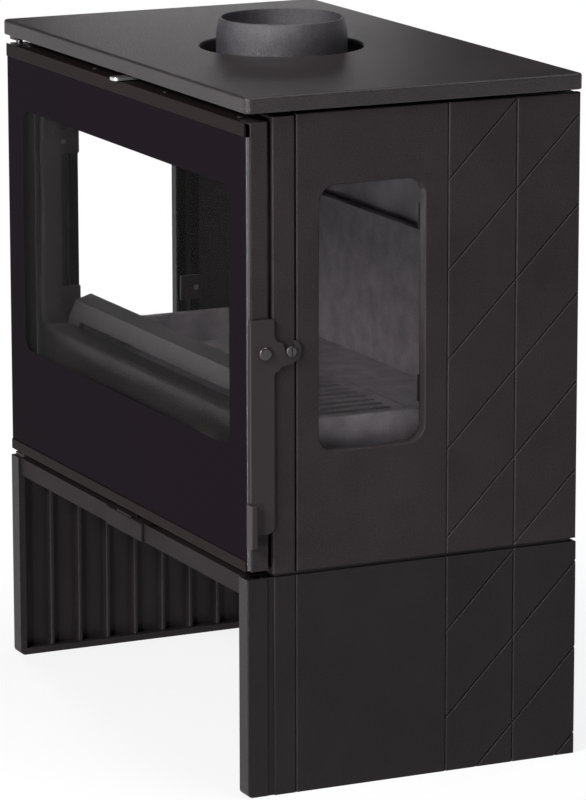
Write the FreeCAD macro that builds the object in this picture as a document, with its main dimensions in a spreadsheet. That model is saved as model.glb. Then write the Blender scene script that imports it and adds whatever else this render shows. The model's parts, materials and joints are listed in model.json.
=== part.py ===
import FreeCAD, Part
import math
import os
import re

import Sketcher

# Cast iron wood stove on a grooved plinth. Millimetres, +Z up, front towards -Y,
# origin on the floor under the middle of the top plate.

os.makedirs("parts", exist_ok=True)
doc = FreeCAD.newDocument("CastIronStove")

# Driving dimensions: name, millimetres, what it measures
DRIVING = [
    ("plateTop", 775, "floor to the top of the top plate"),
    ("plateSide", 4, "top plate edge outside the side panels"),
    ("plateFront", 1.5, "top plate edge in front of the legs"),
    ("plateThick", 17.8, "top plate thickness"),
    ("plateCorner", 7, "top plate corner radius"),
    ("plateEdge", 3, "top plate edge rounding"),
    ("plateHole", 187, "hole round the flue collar, diameter"),
    ("plateGap", 3.6, "gap between side panel and top plate"),
    ("flueOuter", 150, "flue collar, outside diameter"),
    ("flueRim", 143, "flue collar rim, outside diameter"),
    ("flueBore", 137, "flue collar bore diameter"),
    ("flueRise", 32.6, "collar height above the top plate"),
    ("flueSet", 145.3, "front frame's back to the flue's middle"),
    ("flueTaper", 16, "height of the collar's tapered end"),
    ("flueBlend", 80, "radius that blends the collar into its taper"),
    ("flueEdge", 1, "rounding of the collar's rim"),
    ("flangeOuter", 181, "collar flange diameter"),
    ("flangeThick", 8, "collar flange thickness"),
    ("collarBoltCircle", 165, "collar bolts, circle diameter"),
    ("bodyWidth", 675, "side panel to side panel, outside"),
    ("legDepth", 405, "leg, front to back"),
    ("legHeight", 246.5, "leg height"),
    ("legFlange", 22.5, "leg rim, how far it reaches in"),
    ("legSkin", 7, "leg wall thickness"),
    ("legRim", 8, "leg rim thickness"),
    ("legCorner", 6, "leg lower corner radius"),
    ("legPocket", 5, "depth of the pocket in the right leg's top"),
    ("ribCount", 10, "ribs inside a leg"),
    ("ribEnd", 31.2, "last rib to the leg's back"),
    ("ribThick", 6, "rib thickness"),
    ("ribDepth", 10.5, "rib height above the leg wall"),
    ("ribStart", 41.7, "leg front to the first rib"),
    ("ribRound", 2.4, "rounding of a rib's edges"),
    ("stepStart", 24.5, "leg front to the shallow channel"),
    ("stepWidth", 7.5, "width of that channel"),
    ("stepDepth", 2, "depth of that channel"),
    ("grooveWidth", 3, "decorative groove width at the surface"),
    ("grooveSet", 27.9, "side window to the front groove line"),
    ("grooveEnd", 78.5, "rear groove line to the leg's back"),
    ("groovePitch", 100, "spacing of the diagonals in height"),
    ("panelGap", 3.7, "gap between leg and side panel"),
    ("panelSkin", 9, "side panel wall"),
    ("panelEdge", 1.5, "rounding of casting edges that show"),
    ("stripDepth", 12, "inner strips of the side panel, height"),
    ("stripWidth", 12, "inner strips of the side panel, width"),
    ("windowWidth", 128.4, "side window opening, along the panel"),
    ("windowHead", 80.1, "side window to the panel's upper edge"),
    ("windowSet", 26.9, "panel front edge to the window"),
    ("windowRise", 129.8, "panel lower edge to the window"),
    ("windowCorner", 20, "side window corner radius"),
    ("windowRim", 12, "rim round the side window, width"),
    ("windowRimDepth", 5, "rim round the side window, height"),
    ("windowGlass", 4, "side window glass"),
    ("tapeThick", 2, "flat gasket tape"),
    ("clipHeight", 30, "window clip height"),
    ("clipThick", 3, "window clip thickness"),
    ("clipReach", 10, "how far a clip reaches over the glass"),
    ("clipFoot", 11, "width of the clip's foot"),
    ("clipInset", 56, "clip centre to the end of the window opening"),
    ("clipHeel", 0.5, "clip step outside the strip it stands on"),
    ("clipScrewHead", 2, "clip screw head height"),
    ("clipScrewLength", 16, "clip screw length"),
    ("frameSet", 31.1, "leg front to the front frame"),
    ("frameDepth", 26.1, "front frame depth"),
    ("frameTopGap", 5.4, "front frame top to the top plate"),
    ("jointGap", 2.1, "joint between front frame and side panel"),
    ("mouthSide", 31.5, "front frame bar beside the fire opening"),
    ("mouthSill", 40, "fire opening above the firebox floor"),
    ("mouthHead", 61.8, "front frame bar above the fire opening"),
    ("mouthCorner", 18, "fire opening corner radius"),
    ("mouthRound", 6, "rounding round the fire opening"),
    ("ashSide", 5, "floor skirt to the side of the ash opening"),
    ("ashSill", 5.5, "ash opening above the base plate"),
    ("ashHead", 67, "front frame bar above the ash opening"),
    ("basePad", 10, "base plate thickness inside the panels"),
    ("baseInset", 4.5, "base plate edge inside the legs"),
    ("baseFront", 4, "base plate edge behind the front frame's face"),
    ("castFit", 0.3, "fit between castings"),
    ("backThick", 9, "back panel thickness"),
    ("backInset", 2.5, "back panel behind the side panels' ends"),
    ("innerTopGap", 9.2, "firebox top to the top plate"),
    ("innerTopThick", 10, "firebox top thickness"),
    ("spacerRadius", 12, "top plate spacer radius"),
    ("spacerSide", 91.5, "top plate spacer to the plate's side"),
    ("spacerEnd", 74, "top plate spacer to the plate's front or back"),
    ("floorRise", 115.5, "firebox floor above the base plate"),
    ("floorThick", 14, "firebox floor thickness"),
    ("floorSide", 12.5, "firebox floor to the panel strips"),
    ("skirtThick", 8, "floor skirts that stand on the base"),
    ("skirtSpan", 400, "between the floor skirts"),
    ("grateWidth", 300, "grate width"),
    ("grateFrontGap", 74, "floor front to the grate"),
    ("grateBackGap", 82, "grate to the fireback"),
    ("grateThick", 8, "grate thickness"),
    ("grateLedge", 8, "ledge that carries the grate"),
    ("grateFit", 1, "clearance round the grate"),
    ("slotWidth", 9, "grate slot width"),
    ("slotSide", 13.5, "grate bar beside the end slots"),
    ("slotCount", 13, "grate slots"),
    ("slotMargin", 16, "grate bar at the slot ends"),
    ("curbHeight", 38, "hearth curb height"),
    ("curbThick", 8, "hearth curb thickness"),
    ("curbFront", 19, "floor front to the hearth curb"),
    ("curbGap", 4, "hearth curb to the fireback"),
    ("firebackHeight", 177, "fireback height"),
    ("firebackThick", 10, "fireback thickness"),
    ("firebackGap", 9, "fireback to the back panel"),
    ("baffleRoom", 38, "firebox top to the baffle's lower face"),
    ("baffleThick", 12, "baffle thickness"),
    ("baffleFront", 64, "front frame to the baffle"),
    ("lugDepth", 22, "baffle lug length"),
    ("lugHeight", 10, "baffle lug height"),
    ("panSide", 15, "ash pan to the floor skirts"),
    ("panFront", 4, "floor front to the ash pan"),
    ("panBack", 32, "ash pan to the floor's back"),
    ("panHeight", 68, "ash pan height"),
    ("panWall", 2, "ash pan wall"),
    ("handleWidth", 92, "ash pan handle width"),
    ("handleBar", 4, "ash pan handle bar radius"),
    ("handleReach", 16, "ash pan handle reach"),
    ("barSide", 34, "log retainer bar inside the fire opening"),
    ("barThick", 6, "log retainer thickness"),
    ("barRise", 46, "log retainer bar above the floor"),
    ("barHeight", 25, "log retainer bar height"),
    ("barSlope", 6, "rise of the log retainer's top"),
    ("barDepth", 20, "log retainer top, front to back"),
    ("barFlare", 31, "how far the retainer's legs spread"),
    ("barLeg", 32, "width of the retainer's legs"),
    ("barKnee", 14, "slope from the bar to a leg, height"),
    ("doorSide", 1.5, "door side inside the side panel's face"),
    ("doorProud", 0.5, "door face in front of the legs"),
    ("doorGap", 5, "door back to the front frame"),
    ("doorLowGap", 8.5, "leg top to the door"),
    ("doorTopGap", 10.2, "door to the top plate"),
    ("doorMember", 22, "door frame bar width"),
    ("doorGlass", 4, "door glass"),
    ("glassInset", 0.6, "door glass edge inside the frame's side"),
    ("stripThick", 1.8, "glazing strip sheet"),
    ("topStrip", 15, "upper glazing strip height"),
    ("lowStrip", 12, "lower glazing strip height"),
    ("stripEnd", 2.7, "glazing strip end inside the door's side"),
    ("stripTail", 25, "glazing strip flange depth"),
    ("stripScrewEnd", 18, "outer glazing screw to the flange's end"),
    ("stripScrewLength", 10, "glazing screw length"),
    ("ropeWidth", 10, "rope gasket channel width"),
    ("ropeChannel", 6, "rope gasket channel depth"),
    ("ropeFit", 0.3, "rope gasket clearance"),
    ("hingeSide", 10, "hinge axis inside the door's side"),
    ("hingeBack", 12.6, "hinge axis in front of the door's back"),
    ("pinRadius", 4, "hinge pin radius"),
    ("pinFit", 0.05, "hinge pin clearance"),
    ("pinReach", 20, "hinge pin length in the door"),
    ("pinHead", 1.2, "hinge pin head thickness"),
    ("collarRadius", 7, "hinge pin collar radius"),
    ("bracketThick", 4, "upper hinge bracket thickness"),
    ("bracketWidth", 22, "hinge bracket width"),
    ("bracketNose", 9, "hinge bracket in front of its pin"),
    ("leverThick", 4, "latch lever thickness"),
    ("leverWidth", 27.5, "latch lever width"),
    ("leverTop", 36.5, "latch lever above its pivot"),
    ("leverRound", 4, "rounding of the lever's upper corners"),
    ("leverToe", 8, "rounding of the lever's lower corner"),
    ("leverDrop", 213, "latch lever below its pivot"),
    ("leverFront", 16, "latch lever in front of its pivot"),
    ("pivotBack", 7.1, "latch pivot in front of the door's back"),
    ("pivotRise", 242, "latch pivot above the door's lower edge"),
    ("pivotRadius", 4, "latch pivot bolt radius"),
    ("pivotHead", 7.5, "latch pivot bolt head radius"),
    ("pivotDome", 4.5, "latch pivot bolt head height"),
    ("pivotRound", 2.6, "rounding of the latch pivot bolt head"),
    ("pivotGrip", 5, "latch pivot bolt length in the door"),
    ("washerThick", 1.9, "latch washer"),
    ("hookReach", 31, "latch pivot to keeper pin"),
    ("hookProng", 6.8, "hook finger width"),
    ("hookRise", 11, "hook finger above the pin's middle"),
    ("hookFit", 1.5, "clearance of the hook round the keeper pin"),
    ("hookRound", 5, "rounding of the hook's outline"),
    ("hookSide", 3, "widest point of the finger, above the pivot"),
    ("hookCheek", 8.5, "outer bend of the finger, below the pivot"),
    ("hookChin", 14, "underside of the hook, below the pivot"),
    ("stepSet", 6.5, "step under the hook, behind the lever"),
    ("stepLow", 20, "step under the hook, below the pivot"),
    ("stepRise", 3, "height of that step"),
    ("stepRound", 1.5, "rounding of that step"),
    ("hookHeel", 23.5, "lower shoulder of the hook, below the pivot"),
    ("hookBrow", 4.5, "start of the slot's wall, above the pivot"),
    ("hookBump", 10, "upper shoulder's bump, behind the lever"),
    ("bumpRise", 9.5, "upper shoulder's bump, above the pivot"),
    ("hookDip", 12.6, "upper shoulder's hollow, above the pivot"),
    ("hookNape", 16.8, "upper shoulder's start, above the pivot"),
    ("keeperRadius", 4.7, "keeper pin radius"),
    ("keeperHead", 6, "keeper pin head radius"),
    ("keeperDome", 3.5, "keeper pin head height"),
    ("keeperGrip", 15, "keeper pin length in the front frame"),
    ("driverSlot", 1.8, "screwdriver slot width"),
    ("driverDepth", 1.4, "screwdriver slot depth"),
    ("tabHeight", 48, "latch pull tab height"),
    ("tabDrop", 13, "latch pull tab below the lever's end"),
    ("tabReach", 10, "latch pull tab, how far it stands out"),
    ("tabThick", 7, "latch pull tab thickness"),
    ("tabProud", 4, "latch pull tab in front of the lever"),
    ("runFit", 0.4, "running gap beside sliding pieces"),
    ("railHeight", 21.5, "front rail height"),
    ("railSet", 2.5, "front rail behind the leg front"),
    ("railThick", 7, "front rail wall"),
    ("railFlange", 8.5, "front rail flange thickness"),
    ("railTongue", 48, "front rail air tongue, behind its flange"),
    ("railFlangeDepth", 33, "front rail flange, behind its wall"),
    ("channelDepth", 4.5, "air slider channel depth"),
    ("sliderWidth", 103, "air slider tab width"),
    ("sliderTravel", 35, "air slider travel"),
    ("sliderTab", 2.6, "air slider tab thickness"),
    ("sliderNeck", 40, "width of the air slider's neck over the rail"),
    ("neckSheet", 2, "air slider neck thickness"),
    ("railLip", 3.2, "rail wall in front of the air slider channel"),
    ("sliderSheet", 3, "air slider sheet"),
    ("airSlot", 30, "primary air slot width"),
    ("airSlotDepth", 25, "primary air slot, front to back"),
    ("rodWidth", 16, "airwash rod width"),
    ("rodThick", 3.5, "airwash rod thickness"),
    ("rodNose", 8, "airwash rod in front of the top plate"),
    ("shutterWidth", 220, "airwash shutter width"),
    ("shutterDepth", 25, "airwash shutter, front to back"),
    ("shutterSet", 26, "shutter behind the front frame"),
    ("boltRadius", 3, "fastener shank radius"),
    ("boltFit", 0.1, "fastener clearance"),
    ("boltHead", 5.5, "fastener head radius"),
    ("boltHeadHeight", 4, "fastener head height"),
    ("legBoltHead", 4.5, "leg bolt head radius"),
    ("legBoltLength", 24, "leg bolt length"),
    ("legBoltEnd", 40, "rear leg bolt to the leg's back"),
    ("frameBoltGrip", 11, "frame bolt length in the front frame"),
    ("backScrewGrip", 9, "back screw length in the panel strip"),
    ("collarBoltGrip", 12, "collar bolt length below the flange"),
    ("boltRoom", 2, "hole depth past a bolt's end"),
    ("backRibPitch", 110.7, "rib spacing on the back panel"),
    ("backRibEnd", 40, "end of the back panel's ribs inside its edge"),
    ("screwHead", 3.5, "small screw head radius"),
    ("screwShank", 1.75, "small screw shank radius"),
    ("screwHeadHeight", 0.9, "small screw head height"),
]

# Places worked out from the driving dimensions
DERIVED = [
    ("plateWidth", "bodyWidth + 2 * plateSide"),
    ("plateDepth", "legDepth + 2 * plateFront"),
    ("doorWidth", "bodyWidth - 2 * doorSide"),
    ("mouthWidth", "bodyWidth - 2 * mouthSide"),
    ("ashWidth", "skirtSpan - 2 * ashSide"),
    ("panWidth", "skirtSpan - 2 * panSide"),
    ("barLength", "mouthWidth - 2 * barSide"),
    ("halfPlate", "plateWidth / 2"),
    ("halfBody", "bodyWidth / 2"),
    ("halfDoor", "doorWidth / 2"),
    ("halfMouth", "mouthWidth / 2"),
    ("halfAsh", "ashWidth / 2"),
    ("halfPan", "panWidth / 2"),
    ("panelInner", "halfBody - panelSkin"),
    ("stripInner", "panelInner - stripDepth"),
    ("halfFloor", "stripInner - floorSide"),
    ("legInner", "halfBody - legFlange"),
    ("legFront", "-legDepth / 2"),
    ("legBack", "legDepth / 2"),
    ("ribPitch", "(legDepth - ribStart - ribEnd) / (ribCount - 1)"),
    ("plateLow", "plateTop - plateThick"),
    ("panelLow", "legHeight + panelGap"),
    ("panelTop", "plateLow - plateGap"),
    ("frameFront", "legFront + frameSet"),
    ("frameBack", "frameFront + frameDepth"),
    ("flueY", "frameBack + flueSet"),
    ("frameTop", "plateLow - frameTopGap"),
    ("panelFront", "frameBack + jointGap"),
    ("windowFront", "panelFront + windowSet"),
    ("windowBack", "windowFront + windowWidth"),
    ("windowLow", "panelLow + windowRise"),
    ("windowTop", "panelTop - windowHead"),
    ("grooveFront", "windowBack + grooveSet"),
    ("grooveRear", "legBack - grooveEnd"),
    ("rimInner", "panelInner - windowRimDepth"),
    ("paneOuter", "rimInner - tapeThick"),
    ("paneInner", "paneOuter - windowGlass"),
    ("innerTop", "plateLow - innerTopGap"),
    ("innerTopLow", "innerTop - innerTopThick"),
    ("baseTop", "legHeight + basePad"),
    ("floorTop", "baseTop + floorRise"),
    ("mouthLow", "floorTop + mouthSill"),
    ("mouthTop", "frameTop - mouthHead"),
    ("ashLow", "baseTop + ashSill"),
    ("ashTop", "mouthLow - ashHead"),
    ("baffleLow", "innerTopLow - baffleRoom"),
    ("barLow", "floorTop + barRise"),
    ("barHigh", "barLow + barHeight"),
    ("spacerX", "halfPlate - spacerSide"),
    ("spacerY", "plateDepth / 2 - spacerEnd"),
    ("backRear", "legBack - backInset"),
    ("backFront", "backRear - backThick"),
    ("stripRear", "windowBack + windowRim + 3"),
    ("floorLow", "floorTop - floorThick"),
    ("floorFront", "frameBack + castFit + 1"),
    ("firebackFront", "backFront - firebackGap - firebackThick"),
    ("floorBack", "firebackFront + firebackThick"),
    ("grateSeat", "floorTop - grateThick"),
    ("grateLow", "floorFront + grateFrontGap"),
    ("grateHigh", "firebackFront - grateBackGap"),
    ("slotPitch", "(grateWidth - 2 * slotSide - slotWidth) / (slotCount - 1)"),
    ("panNear", "floorFront + panFront"),
    ("panFar", "floorBack - panBack"),
    ("doorFront", "legFront - doorProud"),
    ("doorBack", "frameFront - doorGap"),
    ("doorLow", "legHeight + doorLowGap"),
    ("doorTop", "plateLow - doorTopGap"),
    ("glassFront", "doorFront + stripThick"),
    ("doorFace", "glassFront + doorGlass"),
    ("stripHalf", "halfDoor - stripEnd"),
    ("flangeHalf", "halfDoor - doorMember - 2"),
    ("stripScrew", "(flangeHalf - stripScrewEnd) / 3"),
    ("hingeX", "halfDoor - hingeSide"),
    ("pivotHeight", "doorLow + pivotRise"),
    ("hingeY", "doorBack - hingeBack"),
    ("pivotY", "doorBack - pivotBack"),
    ("leverInner", "halfDoor + washerThick"),
    ("leverOuter", "leverInner + leverThick"),
    ("leverNose", "pivotY - leverFront"),
    ("leverBack", "leverNose + leverWidth"),
    ("keeperY", "pivotY + hookReach"),
    ("slotRadius", "keeperRadius + hookFit"),
    ("railTop", "legHeight"),
    ("railLow", "legHeight - railHeight"),
    ("railFront", "legFront + railSet"),
    ("railHalf", "legInner - castFit"),
    ("flangeBack", "railFront + railThick + railFlangeDepth"),
    ("tongueBack", "flangeBack + railTongue"),
    ("sliderLeft", "-sliderWidth / 2 + 1.5"),
    ("sliderRight", "sliderWidth / 2 + 1.5"),
    ("channelFloor", "railTop - channelDepth"),
    ("sheetLow", "channelFloor + runFit"),
    ("tabFront", "railFront - runFit - sliderTab"),
    ("neckTop", "railTop + runFit + neckSheet"),
    ("riserFront", "railFront + railLip + runFit"),
    ("airSlotFront", "tongueBack - 8 - airSlotDepth"),
    ("rodFront", "-plateDepth / 2 - rodNose"),
    ("rodLow", "innerTop + castFit"),
    ("shutterFront", "frameBack + shutterSet"),
    ("barFront", "frameBack + castFit + 2"),
]

sheet = doc.addObject("Spreadsheet::Sheet", "Sizes")
for row, (alias, size, note) in enumerate(DRIVING, 1):
    sheet.set(f"A{row}", note)
    sheet.set(f"B{row}", str(size))
    sheet.setAlias(f"B{row}", alias)
doc.recompute()

places = doc.addObject("App::VarSet", "Places")
DRIVING_NAMES = {alias for alias, size, note in DRIVING}
DERIVED_NAMES = {name for name, text in DERIVED}


def formula(text):
    """Point each bare name at the sheet or at the worked-out places."""
    def owner(match):
        word = match.group(0)
        if word in DRIVING_NAMES:
            return "Sizes." + word
        return "Places." + word if word in DERIVED_NAMES else word
    return re.sub(r"[A-Za-z]\w*", owner, text)


def bind(target, prop, text):
    target.setExpression(prop, formula(text))


for name, text in DERIVED:
    places.addProperty("App::PropertyFloat", name)
    bind(places, name, text)
doc.recompute()


def value(name):
    """The present number of a size or a place."""
    return float(sheet.get(name)) if name in DRIVING_NAMES else float(getattr(places, name))


PLANE = {"x": "YZ_Plane", "y": "XZ_Plane", "z": "XY_Plane"}
AXIS = {"x": FreeCAD.Vector(1, 0, 0), "y": FreeCAD.Vector(0, 1, 0), "z": FreeCAD.Vector(0, 0, 1)}


def new_body(label):
    body = doc.addObject("PartDesign::Body", label)
    body.Label = label
    return body


def origin_feature(body, role):
    return next(f for f in body.Origin.OriginFeatures if f.Role == role)


def rect(u0, u1, v0, v1):
    return [(u0, v0), (u1, v0), (u1, v1), (u0, v1)]


def sketch(body, axis, start, loops):
    """A sketch square to an axis: loops are corner lists, or (u, v, radius) circles."""
    made = body.newObject("Sketcher::SketchObject", body.Name + "_sketch")
    made.AttachmentSupport = [(origin_feature(body, PLANE[axis]), "")]
    made.MapMode = "FlatFace"
    bind(made, "AttachmentOffset.Base.z", f"-({start})" if axis == "y" else start)
    for loop in loops:
        first = made.GeometryCount
        if isinstance(loop, tuple):
            circle = Part.Circle(FreeCAD.Vector(0, 0, 0), FreeCAD.Vector(0, 0, 1), 1)
            made.addGeometry(circle, False)
            held = [("DistanceX", 3, loop[0]), ("DistanceY", 3, loop[1])]
            for kind, point, text in held:
                rule = made.addConstraint(Sketcher.Constraint(kind, -1, 1, first, point, 1))
                bind(made, f"Constraints[{rule}]", text)
            rule = made.addConstraint(Sketcher.Constraint("Radius", first, 1))
            bind(made, f"Constraints[{rule}]", loop[2])
            continue
        count = len(loop)
        turn = 2 * math.pi / count
        rough = [FreeCAD.Vector(math.cos(turn * i), math.sin(turn * i), 0) for i in range(count)]
        for i in range(count):
            made.addGeometry(Part.LineSegment(rough[i], rough[(i + 1) % count]), False)
        for i in range(count):
            joined = first + (i + 1) % count
            made.addConstraint(Sketcher.Constraint("Coincident", first + i, 2, joined, 1))
        for i, (u, v) in enumerate(loop):
            for kind, text in (("DistanceX", u), ("DistanceY", v)):
                rule = made.addConstraint(Sketcher.Constraint(kind, -1, 1, first + i, 1, 1))
                bind(made, f"Constraints[{rule}]", text)
    return made


def pad(body, axis, start, length, *loops):
    """Add material from start towards the axis's positive end."""
    made = body.newObject("PartDesign::Pad", body.Name + "_pad")
    made.Profile = sketch(body, axis, start, loops)
    bind(made, "Length", length)
    made.Reversed = axis == "y"
    return made


def pocket(body, axis, start, length, *loops):
    """Take material away from start towards the axis's positive end."""
    made = body.newObject("PartDesign::Pocket", body.Name + "_pocket")
    made.Profile = sketch(body, axis, start, loops)
    bind(made, "Length", length)
    made.Reversed = axis != "y"
    return made


def revolve(body, loop):
    """Turn a profile of (radius, height) corners about the body's Z axis."""
    made = body.newObject("PartDesign::Revolution", body.Name + "_turned")
    made.Profile = sketch(body, "y", "0", [loop])
    made.ReferenceAxis = (origin_feature(body, "Z_Axis"), [""])
    made.Angle = 360
    return made


def pattern(body, feature, axis, pitch, count):
    """Repeat a feature along an axis and make the row the body's tip."""
    made = body.newObject("PartDesign::LinearPattern", body.Name + "_row")
    made.Originals = [feature]
    made.Direction = (origin_feature(body, axis.upper() + "_Axis"), [""])
    bind(made, "Length", f"({pitch}) * ({count} - 1)")
    bind(made, "Occurrences", count)
    body.Tip = made
    return made


def runs_along(edge, axis):
    """True for a straight edge parallel to an axis."""
    if not isinstance(edge.Curve, Part.Line):
        return False
    return abs(abs(edge.Curve.Direction.dot(AXIS[axis])) - 1) < 1e-6


def near(a, b):
    return abs(a - b) < 0.01


def fillet(body, radius, chosen):
    """Round the edges of the tip that the test picks out."""
    doc.recompute()
    base = body.Tip
    names = [f"Edge{i}" for i, edge in enumerate(base.Shape.Edges, 1) if chosen(edge)]
    made = body.newObject("PartDesign::Fillet", body.Name + "_round")
    made.Base = (base, names)
    bind(made, "Radius", radius)
    return made


def box(name, x0, x1, y0, y1, z0, z1):
    made = doc.addObject("Part::Box", name)
    for side, low, high in (("Length", x0, x1), ("Width", y0, y1), ("Height", z0, z1)):
        bind(made, side, f"({high}) - ({low})")
    for letter, low in (("x", x0), ("y", y0), ("z", z0)):
        bind(made, f"Placement.Base.{letter}", low)
    return made


def rod(name, axis, radius, length, x, y, z):
    """A round bar that starts at (x, y, z) and runs along an axis, or against it with a minus."""
    made = doc.addObject("Part::Cylinder", name)
    way = AXIS[axis[-1]] * (-1 if axis[0] == "-" else 1)
    made.Placement = FreeCAD.Placement(FreeCAD.Vector(), FreeCAD.Rotation(AXIS["z"], way))
    bind(made, "Radius", radius)
    bind(made, "Height", length)
    for letter, text in (("x", x), ("y", y), ("z", z)):
        bind(made, f"Placement.Base.{letter}", text)
    return made


def fuse(label, parts):
    made = doc.addObject("Part::MultiFuse", label)
    made.Shapes = parts
    made.Refine = True
    made.Label = label
    return made


def cut(label, base, tools):
    made = doc.addObject("Part::Cut", label)
    made.Base = base
    made.Tool = tools[0] if len(tools) == 1 else fuse(label + "_tools", tools)
    made.Refine = True
    made.Label = label
    return made


def group(label, parts):
    made = doc.addObject("Part::Compound", label)
    made.Links = parts
    made.Label = label
    return made


def soften(label, base, size, chosen):
    """Round the picked edges of a finished boolean, by a size from the sheet."""
    doc.recompute()
    made = doc.addObject("Part::Fillet", label)
    made.Base = base
    radius = value(size)
    picked = [i for i, edge in enumerate(base.Shape.Edges, 1) if chosen(edge)]
    made.Edges = [(i, radius, radius) for i in picked]
    made.Label = label
    return made


def bolts(label, axis, seats, head="boltHead", rise="boltHeadHeight", shank="boltRadius", length="20"):
    """Headed fasteners: each seat is the point under the head, and axis is the way out."""
    inward = axis[1:] if axis[0] == "-" else "-" + axis
    solids = []
    for i, (x, y, z) in enumerate(seats, 1):
        top = rod(f"{label}_head{i}", axis, head, rise, x, y, z)
        stem = rod(f"{label}_stem{i}", inward, shank, length, x, y, z)
        solids.append(fuse(f"{label}_{i}", [top, stem]))
    return group(label, solids)


def holes(name, axis, seats, length, radius="boltRadius + boltFit"):
    """Clearance holes for bolts, from the seats inwards, with a little run-out at the seat."""
    inward = axis[1:] if axis[0] == "-" else "-" + axis
    out = {"x": "0", "y": "0", "z": "0"}
    out[axis[-1]] = "-1" if axis[0] == "-" else "1"
    made = []
    for i, (x, y, z) in enumerate(seats, 1):
        start = (f"({x}) + {out['x']}", f"({y}) + {out['y']}", f"({z}) + {out['z']}")
        made.append(rod(f"{name}{i}", inward, radius, f"{length} + 1", *start))
    return made


def span(side, inner, outer):
    """Start and length along X of something between two distances from the middle."""
    start = inner if side == "right" else f"-({outer})"
    return start, f"({outer}) - ({inner})"


def sided(side, text):
    return text if side == "right" else f"-({text})"


def grooves(side, tag, low, high, first, count):
    """Tools for two upright V grooves and a row of 45 degree ones that rise to the back."""
    tools = []
    reach = "grooveWidth / 2"
    face = sided(side, "halfBody")
    upright = FreeCAD.Rotation(AXIS["z"], 45)
    slant = FreeCAD.Rotation(AXIS["x"], -45).multiply(upright)
    lines = [(upright, line, low, f"({high}) - ({low})", "0") for line in ("grooveFront", "grooveRear")]
    for k in range(count):
        start = f"{first} - {k} * groovePitch - (grooveRear - grooveFront)"
        run = "(legBack + 2 - grooveFront) * sqrt(2)"
        lines.append((slant, "grooveFront", start, run, f"({reach}) * sqrt(0.5)"))
    for i, (turn, y, z, length, lift) in enumerate(lines, 1):
        made = doc.addObject("Part::Box", f"{side}_{tag}_groove{i}")
        made.Placement = FreeCAD.Placement(FreeCAD.Vector(), turn)
        bind(made, "Length", "grooveWidth * sqrt(0.5)")
        bind(made, "Width", "grooveWidth * sqrt(0.5)")
        bind(made, "Height", length)
        bind(made, "Placement.Base.x", face)
        back = reach if lift == "0" else lift
        bind(made, "Placement.Base.y", f"{y} - ({back})")
        bind(made, "Placement.Base.z", f"{z} + {lift}")
        tools.append(made)
    return tools


# Plinth legs: a grooved wall with a deep rim and upright ribs inside
def leg_bolt_seats(side):
    x = sided(side, "(stripInner + panelInner) / 2")
    front_height = {"right": "legHeight - legPocket", "left": "panelLow"}[side]
    front = "hingeY + collarRadius + legBoltHead + 2 * castFit"
    return [(x, front, front_height), (x, "legBack - legBoltEnd", "panelLow")]


def leg(side):
    label = f"{side}_leg"
    body = new_body(label + "_casting")
    outline = rect("legFront", "legBack", "0", "legHeight")
    inner = rect("legFront + legRim", "legBack - legRim", "legRim", "legHeight - legRim")
    pad(body, "x", *span(side, "halfBody - legSkin", "halfBody"), outline)
    pad(body, "x", *span(side, "legInner", "halfBody - legSkin"), outline, inner)
    rib_start = "legFront + ribStart"
    rib = rect(rib_start, f"{rib_start} + ribThick", "legRim", "legHeight - legRim")
    ribs = pad(body, "x", *span(side, "halfBody - legSkin - ribDepth", "halfBody - legSkin"), rib)
    pattern(body, ribs, "y", "ribPitch", "ribCount")
    rib_tip = value("halfBody") - value("legSkin") - value("ribDepth")
    fillet(body, "ribRound", lambda e: runs_along(e, "z") and near(abs(e.BoundBox.Center.x), rib_tip))
    step = rect("legFront + stepStart", "legFront + stepStart + stepWidth", "-1", "legHeight + 1")
    pocket(body, "x", *span(side, "halfBody - stepDepth", "halfBody + 1"), step)
    if side == "right":
        well = rect("legInner + 2", "halfBody - 4", "legFront + 4.5", "frameFront + baseFront - 1")
        pocket(body, "z", "legHeight - legPocket", "legPocket + 1", well)
    fillet(body, "legCorner", lambda e: runs_along(e, "x") and near(e.BoundBox.Center.z, 0)
           and near(e.BoundBox.Center.y, value("legFront")))
    face = sided(side, "halfBody")
    face_x = value("halfBody") * (1 if side == "right" else -1)
    fillet(body, "panelEdge", lambda e: runs_along(e, "z") and near(e.BoundBox.Center.x, face_x)
           and e.BoundBox.Center.y < value("frameFront") + 1)
    tools = grooves(side, "leg", "-1", "legHeight + 1", "legHeight - 1", 4)
    joint = doc.addObject("Part::Box", label + "_joint")
    joint.Placement = FreeCAD.Placement(FreeCAD.Vector(), FreeCAD.Rotation(AXIS["z"], 45))
    bind(joint, "Length", "grooveWidth * sqrt(0.5)")
    bind(joint, "Width", "grooveWidth * sqrt(0.5)")
    bind(joint, "Height", "legHeight + 2")
    bind(joint, "Placement.Base.x", face)
    bind(joint, "Placement.Base.y", "frameBack + jointGap / 2 - grooveWidth / 2")
    bind(joint, "Placement.Base.z", "-1")
    tools.append(joint)
    tools += holes(label + "_hole", "z", leg_bolt_seats(side), "legBoltLength + boltRoom")
    return cut(label, body, tools)


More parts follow.
